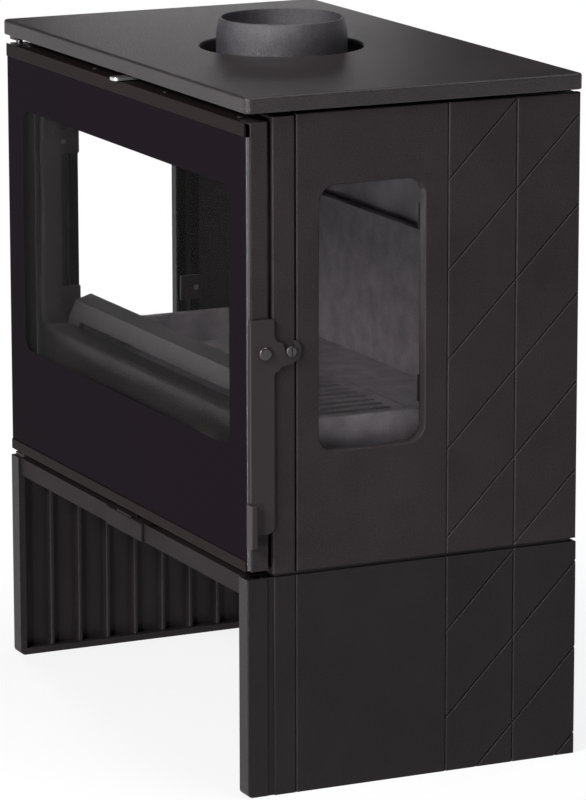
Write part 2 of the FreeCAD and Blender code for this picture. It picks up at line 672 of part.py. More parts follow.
# Base plate: a thin edge that the panels stand on, and a raised pad between them
def base_plate():
    body = new_body("base_plate_casting")
    edge = "halfBody - baseInset"
    hinge_room = "-(halfBody - bracketWidth - 1)"
    outline = [(hinge_room, "frameFront + baseFront"), (edge, "frameFront + baseFront"),
               (edge, "legBack - baseInset"), (f"-({edge})", "legBack - baseInset"),
               (f"-({edge})", "frameBack"), (hinge_room, "frameBack")]
    pad(body, "z", "legHeight", "panelGap", outline)
    inner = "stripInner - castFit"
    raised = rect(f"-({inner})", inner, "frameBack + castFit", "backFront - castFit")
    pad(body, "z", "panelLow", "basePad - panelGap", raised)
    for middle in AIR_SLOTS:
        slot = rect(f"{middle} - airSlot / 2", f"{middle} + airSlot / 2",
                    "airSlotFront", "airSlotFront + airSlotDepth")
        pocket(body, "z", "legHeight - 1", "basePad + 2", slot)
    seats = leg_bolt_seats("left")[1:] + leg_bolt_seats("right")[1:]
    return cut("base_plate", body, holes("base_hole", "z", seats, "10"))


AIR_SLOTS = ("-airSlot - 1", "airSlot + 10")


# Front rail: an apron with a flange and a tongue, channelled for the air slider
def front_rail():
    body = new_body("front_rail")
    wall = rect("-railHalf", "railHalf", "railLow", "railTop")
    pad(body, "y", "railFront", "railThick", wall)
    wide = rect("-railHalf", "railHalf", "railFront + railThick", "flangeBack")
    pad(body, "z", "railTop - railFlange", "railFlange", wide)
    tongue = rect("sliderLeft - 40", "sliderRight + sliderTravel + 40", "flangeBack", "tongueBack")
    pad(body, "z", "railTop - railFlange", "railFlange", tongue)
    track = rect("sliderLeft - runFit", "sliderRight + sliderTravel + runFit",
                 "railFront + railLip", "tongueBack - 2")
    pocket(body, "z", "channelFloor", "channelDepth + 1", track)
    for middle in AIR_SLOTS:
        slot = rect(f"{middle} - airSlot / 2", f"{middle} + airSlot / 2",
                    "airSlotFront", "airSlotFront + airSlotDepth")
        pocket(body, "z", "railTop - railFlange - 1", "railFlange + 2", slot)
    fillet(body, "panelEdge", lambda e: runs_along(e, "x") and near(e.BoundBox.Center.y, value("railFront"))
           and near(e.BoundBox.Center.z, value("railLow")))
    return body


def primary_air_slider():
    """A blade in the rail's channel, bent up and over the rail's lip to a tab in front."""
    body = new_body("primary_air_slider")
    tab = rect("sliderLeft", "sliderRight", "railLow", "railTop")
    pad(body, "y", "tabFront", "sliderTab", tab)
    face = value("tabFront")
    fillet(body, "panelEdge", lambda e: near(e.BoundBox.Center.y, face) and near(e.BoundBox.YLength, 0))
    middle = "(sliderLeft + sliderRight) / 2"
    hook = [("tabFront + 1", "railTop - 4"), ("railFront - runFit", "railTop - 4"),
            ("railFront - runFit", "railTop + runFit"), ("riserFront", "railTop + runFit"),
            ("riserFront", "sheetLow"), ("riserFront + sliderSheet", "sheetLow"),
            ("riserFront + sliderSheet", "neckTop"), ("tabFront + 1", "neckTop")]
    pad(body, "x", f"{middle} - sliderNeck / 2", "sliderNeck", hook)
    blade = rect("sliderLeft", "sliderRight", "riserFront", "tongueBack - 4")
    pad(body, "z", "sheetLow", "sliderSheet", blade)
    for slot_middle in AIR_SLOTS:
        slot = rect(f"{slot_middle} - airSlot / 2", f"{slot_middle} + airSlot / 2",
                    "airSlotFront", "airSlotFront + airSlotDepth")
        pocket(body, "z", "sheetLow - 1", "sliderSheet + 2", slot)
    return body


# Front frame: the casting that the door closes on, with the fire opening and the ash opening
FRAME_BOLT_Z = ("panelLow + 45", "innerTopLow - 30")


def frame_bolt_seats():
    x = "stripInner + stripDepth / 2"
    return [(sided(s, x), "frameBack + stripWidth", z) for s in ("left", "right") for z in FRAME_BOLT_Z]


def front_frame():
    body = new_body("front_frame_casting")
    outline = rect("-halfBody", "halfBody", "panelLow", "frameTop")
    mouth = rect("-halfMouth", "halfMouth", "mouthLow", "mouthTop")
    ash = rect("-halfAsh", "halfAsh", "ashLow", "ashTop")
    pad(body, "y", "frameFront", "frameDepth", outline, mouth, ash)
    for low, high in (("ashTop + 10", "mouthLow - 12"), ("mouthTop + 12", "innerTopLow - 6")):
        hollow = rect("-halfMouth + 20", "halfMouth - 20", low, high)
        pocket(body, "y", "frameBack - frameDepth * 0.6", "frameDepth * 0.6 + 1", hollow)
    notch = rect("-rodWidth / 2 - runFit", "rodWidth / 2 + runFit", "innerTop", "frameTop + 1")
    pocket(body, "y", "frameFront - 1", "frameDepth + 2", notch)
    mouth_x = value("halfMouth")
    fillet(body, "mouthCorner", lambda e: runs_along(e, "y") and near(abs(e.BoundBox.Center.x), mouth_x))
    front = value("frameFront")

    def on_mouth(edge):
        box_of = edge.BoundBox
        middle = box_of.Center
        inside = value("mouthLow") - 0.1 < middle.z < value("mouthTop") + 0.1
        return near(box_of.YMax, front) and inside and abs(middle.x) < value("halfMouth") + 0.1

    fillet(body, "mouthRound", on_mouth)
    side_x = value("halfBody")
    fillet(body, "panelEdge", lambda e: runs_along(e, "z") and near(abs(e.BoundBox.Center.x), side_x))
    tools = holes("frame_hole", "y", frame_bolt_seats(), "stripWidth + frameBoltGrip + boltRoom")
    keeper = [("halfBody", "keeperY", "pivotHeight")]
    tools += holes("keeper_hole", "x", keeper, "keeperGrip + boltRoom", "keeperRadius")
    return cut("front_frame", body, tools)


# Side panels: grooved wall with a rimmed window and inner strips for the neighbours
def clip_heights():
    return ("windowLow + clipInset", "windowTop - clipInset + 10")


def clip_lines():
    """Front and rear clip feet: strip middle, and which way the finger points."""
    return (("frameBack + stripWidth / 2", 1), ("stripRear + stripWidth / 2", -1))


def clip_seats(side):
    x = sided(side, "paneInner - clipThick")
    return [(x, y, z) for y, way in clip_lines() for z in clip_heights()]


def back_seats(side):
    x = sided(side, "stripInner + stripDepth / 2")
    heights = ("panelLow + 60", "(panelLow + panelTop) / 2", "innerTopLow - 40")
    return [(x, "backRear", z) for z in heights]


def side_panel(side):
    label = f"{side}_side_panel"
    body = new_body(label + "_casting")
    outline = rect("panelFront", "legBack", "panelLow", "panelTop")
    window = rect("windowFront", "windowBack", "windowLow", "windowTop")
    rim = rect("windowFront - windowRim", "windowBack + windowRim",
               "windowLow - windowRim", "windowTop + windowRim")
    pad(body, "x", *span(side, "panelInner", "halfBody"), outline, window)
    pad(body, "x", *span(side, "rimInner", "panelInner"), rim, window)
    tongue = rect("frameBack", "frameBack + stripWidth", "panelLow", "innerTopLow")
    pad(body, "x", *span(side, "stripInner", "panelInner + panelSkin / 2"), tongue)
    foot_strip = rect("stripRear", "stripRear + stripWidth", "windowLow", "windowTop")
    back_strip = rect("backFront - stripWidth", "backFront", "panelLow", "innerTopLow")
    pad(body, "x", *span(side, "stripInner", "panelInner"), foot_strip, back_strip)
    ledge = rect("frameBack + stripWidth", "backFront - stripWidth",
                 "innerTopLow - stripWidth", "innerTopLow")
    pad(body, "x", *span(side, "stripInner", "panelInner"), ledge)
    lug_low = "baffleLow - lugHeight"
    lugs = [rect(f"{y}", f"{y} + 30", lug_low, "baffleLow") for y in ("windowFront", "grooveRear")]
    pad(body, "x", *span(side, "panelInner - lugDepth", "panelInner"), *lugs)
    fillet(body, "windowCorner", lambda e: runs_along(e, "x") and e.Length > value("panelSkin") and any(
        near(e.BoundBox.Center.y, value(y)) and near(e.BoundBox.Center.z, value(z))
        for y in ("windowFront", "windowBack") for z in ("windowLow", "windowTop")))
    face_x = value("halfBody") * (1 if side == "right" else -1)

    def shows(edge):
        box_of = edge.BoundBox
        return near(box_of.XLength, 0) and near(box_of.Center.x, face_x)

    fillet(body, "panelEdge", shows)
    tools = grooves(side, "panel", "panelLow - 1", "panelTop + 1", "panelTop - 1.6", 6)
    tools += holes(label + "_clip_hole", "-x" if side == "right" else "x", clip_seats(side),
                   "clipScrewLength + boltRoom", "screwShank + boltFit")
    bolt_side = [seat for seat in frame_bolt_seats() if seat[0].startswith("-") == (side == "left")]
    tools += holes(label + "_frame_hole", "y", bolt_side, "stripWidth + 2")
    tools += holes(label + "_back_hole", "y", back_seats(side), "backThick + backScrewGrip + boltRoom")
    return cut(label, body, tools)


def window_gasket(side):
    body = new_body(f"{side}_window_gasket")
    edge = "windowRim - 1"
    outer = rect(f"windowFront - ({edge})", f"windowBack + {edge}",
                 f"windowLow - ({edge})", f"windowTop + {edge}")
    inner = rect("windowFront - 1", "windowBack + 1", "windowLow - 1", "windowTop + 1")
    pad(body, "x", *span(side, "paneOuter", "rimInner"), outer, inner)
    fillet(body, "windowCorner", lambda e: runs_along(e, "x"))
    return body


def window_glass(side):
    body = new_body(f"{side}_window_glass")
    edge = "windowRim - 0.5"
    pane = rect(f"windowFront - ({edge})", f"windowBack + {edge}",
                f"windowLow - ({edge})", f"windowTop + {edge}")
    pad(body, "x", *span(side, "paneInner", "paneOuter"), pane)
    fillet(body, "clipThick", lambda e: runs_along(e, "x"))
    return body


def window_clips(side):
    """Stepped clips: a foot on the panel's strip and a finger over the edge of the glass."""
    solids = []
    way_out = 1 if side == "right" else -1
    for i, (line, way) in enumerate(clip_lines(), 1):
        for k, z in enumerate(clip_heights(), 1):
            body = new_body(f"{side}_clip{i}{k}")
            foot = f"{line} - {way} * clipFoot / 2"
            heel = f"{line} + {way} * (stripWidth / 2 + clipHeel)"
            if way > 0:
                tip = "windowFront - windowRim + clipReach"
            else:
                tip = "windowBack + windowRim - clipReach"
            low, mid, top = (sided(side, t) for t in ("paneInner - clipThick", "paneInner", "stripInner"))
            profile = [(low, foot), (low, tip), (mid, tip), (mid, heel), (top, heel), (top, foot)]
            pad(body, "z", f"{z} - clipHeight / 2", "clipHeight", profile)
            solids.append(body)
    grouped = group(f"{side}_window_clips_blank", solids)
    axis = "-x" if way_out > 0 else "x"
    return cut(f"{side}_window_clips", grouped,
               holes(f"{side}_clip_bore", axis, clip_seats(side), "clipScrewLength", "screwShank + boltFit"))


# Back of the firebox and its lining
def back_panel():
    body = new_body("back_panel_casting")
    half = "panelInner - castFit"
    pad(body, "y", "backFront", "backThick", rect(f"-({half})", half, "panelLow", "panelTop - castFit"))
    for k in (-2, -1, 0, 1, 2):
        rib = rect(f"{k} * backRibPitch - ribThick / 2", f"{k} * backRibPitch + ribThick / 2",
                   "panelLow + backRibEnd", "panelTop - backRibEnd")
        pad(body, "y", "backRear", "backInset", rib)
    seats = back_seats("left") + back_seats("right")
    return cut("back_panel", body, holes("back_hole", "y", seats, "backThick + 1"))


def fireback():
    body = new_body("fireback")
    half = "halfFloor - curbThick - curbGap"
    face = rect(f"-({half})", half, "floorTop", "floorTop + firebackHeight")
    pad(body, "y", "firebackFront", "firebackThick", face)
    front = value("firebackFront")
    fillet(body, "panelEdge", lambda e: near(e.BoundBox.YLength, 0) and near(e.BoundBox.Center.y, front))
    return body


def firebox_top():
    body = new_body("firebox_top_casting")
    half = "panelInner - castFit"
    outline = rect(f"-({half})", half, "frameBack + castFit", "backFront - castFit")
    pad(body, "z", "innerTopLow", "innerTopThick", outline, ("0", "flueY", "flueBore / 2 + 2"))
    for k in range(4):
        middle = f"shutterWidth * ({k} - 1.5) / 4"
        slot = rect(f"{middle} - airSlot / 2", f"{middle} + airSlot / 2", "shutterFront + 4",
                    "shutterFront + shutterDepth - 4")
        pocket(body, "z", "innerTopLow - 1", "innerTopThick + 2", slot)
    depth = "flangeThick + innerTopThick + boltRoom"
    return cut("firebox_top", body, holes("top_hole", "z", collar_seats(), depth))


def collar_seats():
    reach = "collarBoltCircle / 2 * sqrt(0.5)"
    corners = [(sx, sy) for sx in ("", "-") for sy in ("+", "-")]
    return [(sx + reach, f"flueY {sy} {reach}", "innerTop + flangeThick") for sx, sy in corners]


def flue_collar():
    body = new_body("flue_collar_casting")
    top = "plateTop + flueRise"
    profile = [("flueBore / 2", "innerTop"), ("flangeOuter / 2", "innerTop"),
               ("flangeOuter / 2", "innerTop + flangeThick"), ("flueOuter / 2", "innerTop + flangeThick"),
               ("flueOuter / 2", f"{top} - flueTaper"), ("flueRim / 2", top), ("flueBore / 2", top)]
    revolve(body, profile)
    bind(body, "Placement.Base.y", "flueY")
    rim = value("plateTop") + value("flueRise")
    crease = rim - value("flueTaper")
    fillet(body, "flueBlend", lambda e: near(e.BoundBox.ZMax, crease) and near(e.BoundBox.ZMin, crease))
    fillet(body, "flueEdge", lambda e: near(e.BoundBox.ZMax, rim) and near(e.BoundBox.ZMin, rim))
    return cut("flue_collar", body, holes("collar_hole", "z", collar_seats(), "flangeThick + boltRoom"))


def top_plate():
    body = new_body("top_plate")
    half, deep = "halfPlate", "plateDepth / 2"
    outline = rect(f"-{half}", half, f"-{deep}", deep)
    pad(body, "z", "plateLow", "plateThick", outline, ("0", "flueY", "plateHole / 2"))
    side_x = value("halfPlate")
    fillet(body, "plateCorner", lambda e: runs_along(e, "z") and near(abs(e.BoundBox.Center.x), side_x))
    top, low = value("plateTop"), value("plateLow")
    fillet(body, "plateEdge", lambda e: near(e.BoundBox.ZLength, 0) and near(e.BoundBox.Center.z, top))
    fillet(body, "panelEdge", lambda e: near(e.BoundBox.ZLength, 0) and near(e.BoundBox.Center.z, low)
           and e.BoundBox.DiagonalLength > value("plateCorner"))
    return body


def plate_spacers():
    solids = []
    for i, (x, y) in enumerate(((1, 1), (1, -1), (-1, 1), (-1, -1)), 1):
        solids.append(rod(f"spacer{i}", "z", "spacerRadius", "plateLow - innerTop",
                          f"{x} * spacerX", f"{y} * spacerY", "innerTop"))
    return group("plate_spacers", solids)


def baffle_plate():
    body = new_body("baffle_plate")
    half = "stripInner - 1"
    back = "backFront - castFit"
    pad(body, "z", "baffleLow", "baffleThick", rect(f"-({half})", half, "frameBack + baffleFront", back))
    fillet(body, "plateEdge", lambda e: runs_along(e, "x"))
    return body


# Hearth: floor on two skirts, lift-out grate, curbs under the windows, ash pan
def grate_rect(margin):
    return rect(f"-grateWidth / 2 - ({margin})", f"grateWidth / 2 + {margin}",
                f"grateLow - ({margin})", f"grateHigh + {margin}")


def firebox_floor():
    body = new_body("firebox_floor")
    outline = rect("-halfFloor", "halfFloor", "floorFront", "floorBack")
    pad(body, "z", "floorLow", "floorThick", outline, grate_rect("-grateLedge"))
    pocket(body, "z", "grateSeat", "grateThick + 1", grate_rect("grateFit"))
    for side in ("left", "right"):
        skirt = rect("floorFront", "floorBack", "baseTop", "floorLow")
        pad(body, "x", *span(side, "skirtSpan / 2", "skirtSpan / 2 + skirtThick"), skirt)
    return body


def fire_grate():
    body = new_body("fire_grate")
    pad(body, "z", "grateSeat", "grateThick", grate_rect("0"))
    first = "-(slotCount - 1) / 2 * slotPitch"
    slot = rect(f"{first} - slotWidth / 2", f"{first} + slotWidth / 2",
                "grateLow + slotMargin", "grateHigh - slotMargin")
    cutter = pocket(body, "z", "grateSeat - 1", "grateThick + 2", slot)
    pattern(body, cutter, "x", "slotPitch", "slotCount")
    return body


def hearth_curb(side):
    body = new_body(f"{side}_hearth_curb")
    curb = rect("floorFront + curbFront", "firebackFront - curbGap", "floorTop", "floorTop + curbHeight")
    pad(body, "x", *span(side, "halfFloor - curbThick", "halfFloor"), curb)
    top = value("floorTop") + value("curbHeight")
    fillet(body, "plateEdge", lambda e: runs_along(e, "y") and near(e.BoundBox.Center.z, top))
    return body


def ash_pan():
    body = new_body("ash_pan")
    outline = rect("-halfPan", "halfPan", "panNear", "panFar")
    hollow = rect("-halfPan + panWall", "halfPan - panWall", "panNear + panWall", "panFar - panWall")
    pad(body, "z", "baseTop", "panHeight", outline)
    pocket(body, "z", "baseTop + panWall", "panHeight", hollow)
    return body


def ash_pan_handle():
    """A round bail: two posts on the pan's front joined by a bar."""
    front = "panNear"
    height = "baseTop + panHeight / 2"
    reach = "handleReach"
    ends = ("-handleWidth / 2", "handleWidth / 2")
    solids = []
    for i, x in enumerate(ends, 1):
        solids.append(rod(f"handle_post{i}", "-y", "handleBar", reach, x, front, height))
    solids.append(rod("handle_bar", "x", "handleBar", "handleWidth", ends[0], f"{front} - {reach}", height))
    for i, x in enumerate(ends, 1):
        knuckle = doc.addObject("Part::Sphere", f"handle_knuckle{i}")
        bind(knuckle, "Radius", "handleBar")
        for letter, text in (("x", x), ("y", f"{front} - {reach}"), ("z", height)):
            bind(knuckle, f"Placement.Base.{letter}", text)
        solids.append(knuckle)
    return fuse("ash_pan_handle", solids)


def log_retainer():
    """A bent bar across the mouth on two spread legs."""
    body = new_body("log_retainer")
    deep = "barFront + barDepth"
    face = "barFront + barThick"
    section = [("barFront", "barLow"), (face, "barLow"), (face, "barHigh - barThick + 1"),
               (deep, "barHigh + barSlope - barThick"), (deep, "barHigh + barSlope"), ("barFront", "barHigh")]
    pad(body, "x", "-barLength / 2", "barLength", section)
    for way in ("", "-"):
        def out(text):
            return f"{way}({text})"
        end = "barLength / 2"
        foot = f"{end} + barFlare"
        shin = [(out(end), "barHigh"), (out(foot), "barLow - barKnee"), (out(foot), "floorTop"),
                (out(f"{foot} - barLeg"), "floorTop"), (out(f"{foot} - barLeg"), "barLow - barKnee - 3"),
                (out(f"{end} - barKnee"), "barLow")]
        pad(body, "y", "barFront", "barThick", shin)
    return body


# Door: frame, glass in front of it between two sheet strips, rope gasket behind
def strip_screw_xs():
    return ["-3 * stripScrew", "-stripScrew", "stripScrew", "3 * stripScrew"]


def strip_seats(edge):
    z = {"top": "doorTop", "bottom": "doorLow"}[edge]
    return [(x, "doorBack - hingeBack", z) for x in strip_screw_xs()]


def rope_loops(channel):
    """Outer and inner rectangles of the rope's run on the door's back."""
    mid = "doorMember / 2"
    half = "ropeWidth / 2" if channel else "ropeWidth / 2 - ropeFit"
    return [rect(f"-(halfDoor - {mid} {s} ({half}))", f"halfDoor - {mid} {s} ({half})",
                 f"doorLow + {mid} {o} ({half})", f"doorTop - {mid} {s} ({half})")
            for s, o in (("+", "-"), ("-", "+"))]


def door_frame():
    body = new_body("door_frame_casting")
    outline = rect("-halfDoor", "halfDoor", "doorLow", "doorTop")
    inner = rect("-halfDoor + doorMember", "halfDoor - doorMember",
                 "doorLow + doorMember", "doorTop - doorMember")
    pad(body, "y", "doorFace", "doorBack - doorFace", outline, inner)
    pocket(body, "y", "doorBack - ropeChannel", "ropeChannel + 1", *rope_loops(True))
    flange = "flangeHalf + castFit"
    for low, high in (("doorLow - 1", "doorLow + stripThick"), ("doorTop - stripThick", "doorTop + 1")):
        bed = rect(f"-({flange})", flange, low, high)
        pocket(body, "y", "doorFace - 1", "stripTail + castFit + 1 - (doorFace - doorFront)", bed)
    side_x = value("halfDoor")
    fillet(body, "panelEdge", lambda e: runs_along(e, "z") and near(abs(e.BoundBox.Center.x), side_x))
    bore, depth = "pinRadius + pinFit", "pinReach + 2"
    tools = [rod("lower_pin_bore", "z", bore, depth, "-hingeX", "hingeY", "doorLow - 1"),
             rod("upper_pin_bore", "-z", bore, depth, "-hingeX", "hingeY", "doorTop + 1")]
    tools += holes("pivot_bore", "x", [("halfDoor", "pivotY", "pivotHeight")], "pivotGrip", "pivotRadius")
    for edge, axis in (("top", "z"), ("bottom", "-z")):
        tools += holes(f"{edge}_strip_bore", axis, strip_seats(edge), "stripScrewLength + boltRoom",
                       "screwShank + boltFit")
    return cut("door_frame", body, tools)


def door_glass():
    body = new_body("door_glass")
    half = "halfDoor - glassInset"
    pane = rect(f"-({half})", half, "doorLow + stripThick + castFit", "doorTop - stripThick - castFit")
    pad(body, "y", "glassFront", "doorGlass", pane)
    return body


def glass_gasket():
    """Flat tape round the inside of the door frame, flush with its front, behind the glass."""
    body = new_body("glass_gasket")
    outer = rect("-halfDoor + doorMember", "halfDoor - doorMember",
                 "doorLow + doorMember", "doorTop - doorMember")
    wide = "doorMember + 6"
    inner = rect(f"-halfDoor + {wide}", f"halfDoor - ({wide})", f"doorLow + {wide}", f"doorTop - ({wide})")
    pad(body, "y", "doorFace", "tapeThick", outer, inner)
    return body


def door_rope_gasket():
    body = new_body("door_rope_gasket")
    pad(body, "y", "doorBack - ropeChannel", "ropeChannel + doorGap - ropeFit", *rope_loops(False))
    back = value("frameFront") - value("ropeFit")
    fillet(body, "plateEdge", lambda e: near(e.BoundBox.YLength, 0) and near(e.BoundBox.Center.y, back))
    return body


def glazing_strip(edge):
    """A bent sheet strip: an upright lip over the glass and a flange let into the frame."""
    label = f"{edge}_glazing_strip"
    body = new_body(label + "_sheet")
    if edge == "top":
        lip = ("doorTop - topStrip", "doorTop")
        flange = ("doorTop - stripThick", "stripThick")
    else:
        lip = ("doorLow", "doorLow + lowStrip")
        flange = ("doorLow", "stripThick")
    pad(body, "y", "doorFront", "stripThick", rect("-stripHalf", "stripHalf", *lip))
    pad(body, "z", *flange, rect("-flangeHalf", "flangeHalf", "glassFront", "doorFront + stripTail"))
    axis = "z" if edge == "top" else "-z"
    return cut(label, body, holes(label + "_hole", axis, strip_seats(edge), "4", "screwShank + boltFit"))


# Hinge: a bracket on the front frame's top, one on the leg, and a pin in each
def hinge_bracket(edge):
    label = f"{edge}_hinge_bracket"
    body = new_body(label + "_plate")
    low, high = ("frameTop", "bracketThick") if edge == "upper" else ("legHeight", "panelGap")
    back = "frameBack" if edge == "upper" else "frameFront + baseFront - castFit"
    outer, inner = "-halfBody + 1", "-halfBody + bracketWidth"
    nose = "hingeY - bracketNose"
    pad(body, "z", low, high, rect(outer, inner, nose, back))
    fillet(body, "pinRadius", lambda e: runs_along(e, "z") and e.BoundBox.Center.y < value("hingeY"))
    tools = holes(label + "_bore", "z", [("-hingeX", "hingeY", f"{low} + {high}")], "8", "pinRadius")
    if edge == "lower":
        tools += holes(label + "_bolt", "z", leg_bolt_seats("left")[:1], "8")
    return cut(label, body, tools)


def hinge_pin(edge):
    body = new_body(f"{edge}_hinge_pin")
    if edge == "upper":
        tip, seat = "doorTop - pinReach", "frameTop + bracketThick"
        head, crown = "pinRadius + 2", f"{seat} + pinHead"
        profile = [("0", tip), ("pinRadius", tip), ("pinRadius", seat),
                   (head, seat), (head, crown), ("0", crown)]
    else:
        tip, shoulder = "doorLow + pinReach", "doorLow - castFit"
        profile = [("0", "legHeight"), ("pinRadius", "legHeight"), ("pinRadius", "panelLow"),
                   ("collarRadius", "panelLow"), ("collarRadius", shoulder), ("pinRadius", shoulder),
                   ("pinRadius", tip), ("0", tip)]
    revolve(body, profile)
    bind(body, "Placement.Base.x", "-hingeX")
    bind(body, "Placement.Base.y", "hingeY")
    return body


# Latch: a long lever on the door's right side whose hook catches the keeper pin
def latch_lever():
    body = new_body("latch_lever_plate")
    prong = "keeperY + slotRadius + hookProng"
    low = "pivotHeight - leverDrop"
    toe = f"{low} + tabDrop"
    top = "pivotHeight + leverTop"
    finger_top = "pivotHeight + hookRise"
    below = [("leverBack", "pivotHeight - hookHeel"), ("leverBack + stepSet", "pivotHeight - stepLow"),
             ("leverBack + stepSet + hookFit", "pivotHeight - stepLow + stepRise"),
             ("keeperY + hookFit", "pivotHeight - hookChin")]
    finger = [(f"{prong} - hookFit", "pivotHeight - hookCheek"), (prong, "pivotHeight + hookSide"),
              (f"{prong} - hookProng + hookFit", finger_top), (f"{prong} - hookProng - hookFit", finger_top)]
    above = [("keeperY - slotRadius - hookFit / 2", "pivotHeight + hookBrow"),
             ("leverBack + hookBump", "pivotHeight + bumpRise"),
             ("leverBack + hookSide", "pivotHeight + hookDip"), ("leverBack", "pivotHeight + hookNape")]
    crest = [("leverBack", top), ("leverNose", top)]
    outline = [("leverNose", toe), ("leverBack", toe)] + below + finger + above + crest
    pad(body, "x", "leverInner", "leverThick", outline)
    pivot = value("pivotHeight")

    def at_heights(*heights):
        def chosen(edge):
            middle = edge.BoundBox.Center
            outside = middle.y > value("leverBack") - 0.1
            return runs_along(edge, "x") and outside and any(near(middle.z, z) for z in heights)
        return chosen

    crown = pivot + value("leverTop")
    fillet(body, "leverRound", lambda e: runs_along(e, "x") and near(e.BoundBox.Center.z, crown))
    fillet(body, "leverToe", at_heights(pivot - value("leverDrop") + value("tabDrop")))
    step = pivot - value("stepLow")
    fillet(body, "stepRound", at_heights(step, step + value("stepRise")))
    lower = [pivot - value(n) for n in ("hookHeel", "hookChin", "hookCheek")]
    upper = [pivot + value(n) for n in ("hookSide", "bumpRise", "hookDip", "hookNape")]
    fillet(body, "hookRound", at_heights(*lower, *upper))
    nose = "leverNose - tabProud"
    tab = rect(nose, f"{nose} + tabThick", low, f"{low} + tabHeight")
    pad(body, "x", "leverInner", "leverThick + tabReach", tab)
    end = value("leverOuter") + value("tabReach")
    fillet(body, "panelEdge", lambda e: near(e.BoundBox.XLength, 0) and near(e.BoundBox.Center.x, end))
    inner, outer = "hookReach - slotRadius", "hookReach + slotRadius"
    start, length = "leverInner - 1", "leverThick + 2"
    sweep_out = rod("hook_sweep_outer", "x", outer, length, start, "pivotY", "pivotHeight")
    sweep_in = rod("hook_sweep_inner", "x", inner, f"{length} + 2", f"{start} - 1", "pivotY", "pivotHeight")
    sweep = cut("hook_sweep", sweep_out, [sweep_in])
    window = box("hook_window", f"{start} - 1", f"{start} + {length} + 1", "pivotY + hookReach / 2",
                 "pivotY + hookReach * 2", "pivotHeight", "pivotHeight + hookReach * 0.8")
    slot = doc.addObject("Part::Common", "hook_slot")
    slot.Base = sweep
    slot.Tool = window
    round_end = rod("hook_round", "x", "slotRadius", length, start, "keeperY", "pivotHeight")
    bore = rod("lever_bore", "x", "pivotRadius + pinFit", length, start, "pivotY", "pivotHeight")
    return cut("latch_lever", body, [slot, round_end, bore])


def latch_washer():
    outer = rod("washer_disc", "x", "pivotHead", "washerThick - pinFit", "halfDoor", "pivotY", "pivotHeight")
    bore = rod("washer_bore", "x", "pivotRadius + pinFit", "washerThick + 2",
               "halfDoor - 1", "pivotY", "pivotHeight")
    return cut("latch_washer", outer, [bore])


def domed_pin(label, y, head, shank, seat, grip, dome, rounding):
    """A pin along X with a rounded head outside its seat."""
    top = rod(label + "_head", "x", head, dome, seat, y, "pivotHeight")
    stem = rod(label + "_stem", "-x", shank, grip, seat, y, "pivotHeight")
    solid = fuse(label + "_blank", [top, stem])
    doc.recompute()
    end = top.Shape.BoundBox.XMax
    return soften(label, solid, rounding, lambda e: near(e.BoundBox.XMax, end) and near(e.BoundBox.XMin, end))


def latch_pivot_bolt():
    return domed_pin("latch_pivot_bolt", "pivotY", "pivotHead", "pivotRadius", "leverOuter + pinFit",
                     "leverThick + washerThick + pinFit + pivotGrip", "pivotDome", "pivotRound")


def latch_keeper_pin():
    """The keeper is a headed pin in the front frame's side, slotted for a driver."""
    seat = "leverOuter + runFit"
    blank = domed_pin("keeper_blank", "keeperY", "keeperHead", "keeperRadius", seat,
                      f"{seat} - halfBody + keeperGrip", "keeperDome", "panelEdge")
    crown = f"{seat} + keeperDome"
    slot = box("keeper_slot", f"{crown} - driverDepth", f"{crown} + 1", "keeperY - driverSlot / 2",
               "keeperY + driverSlot / 2", "pivotHeight - keeperHead - 1", "pivotHeight + keeperHead + 1")
    return cut("latch_keeper_pin", blank, [slot])


def main():
    """Build every piece, check them all, then write one STEP file for each."""
    nodes = [leg("left"), leg("right"), base_plate(), front_rail(), primary_air_slider(), front_frame()]
    seats = leg_bolt_seats("left") + leg_bolt_seats("right")
    nodes.append(bolts("leg_bolts", "z", seats, head="legBoltHead", length="legBoltLength"))
    nodes.append(bolts("frame_bolts", "y", frame_bolt_seats(), length="stripWidth + frameBoltGrip"))
    for side in ("left", "right"):
        nodes += [side_panel(side), window_gasket(side), window_glass(side), window_clips(side)]
        axis = "-x" if side == "right" else "x"
        nodes.append(bolts(f"{side}_clip_screws", axis, clip_seats(side), "screwHead", "clipScrewHead",
                           "screwShank", "clipScrewLength"))
        nodes.append(hearth_curb(side))
    nodes += [back_panel(), fireback(), firebox_top(), flue_collar()]
    nodes += [top_plate(), plate_spacers(), baffle_plate()]
    rear = back_seats("left") + back_seats("right")
    nodes.append(bolts("back_panel_screws", "y", rear, length="backThick + backScrewGrip"))
    nodes.append(bolts("collar_bolts", "z", collar_seats(), length="flangeThick + collarBoltGrip"))
    nodes += [firebox_floor(), fire_grate(), ash_pan(), ash_pan_handle(), log_retainer()]
    nodes += [door_frame(), door_glass(), glass_gasket(), door_rope_gasket()]
    nodes += [glazing_strip("top"), glazing_strip("bottom")]
    for edge, axis in (("top", "z"), ("bottom", "-z")):
        nodes.append(bolts(f"{edge}_strip_screws", axis, strip_seats(edge), "screwHead", "screwHeadHeight",
                           "screwShank", "stripScrewLength"))
    for edge in ("upper", "lower"):
        nodes += [hinge_bracket(edge), hinge_pin(edge)]
    nodes += [latch_lever(), latch_washer(), latch_pivot_bolt(), latch_keeper_pin()]
    nodes.append(airwash_rod())
    doc.recompute()
    check(nodes)
    for node in nodes:
        node.Shape.exportStep(f"parts/{node.Label}.step")
    print(len(nodes), "pieces written")


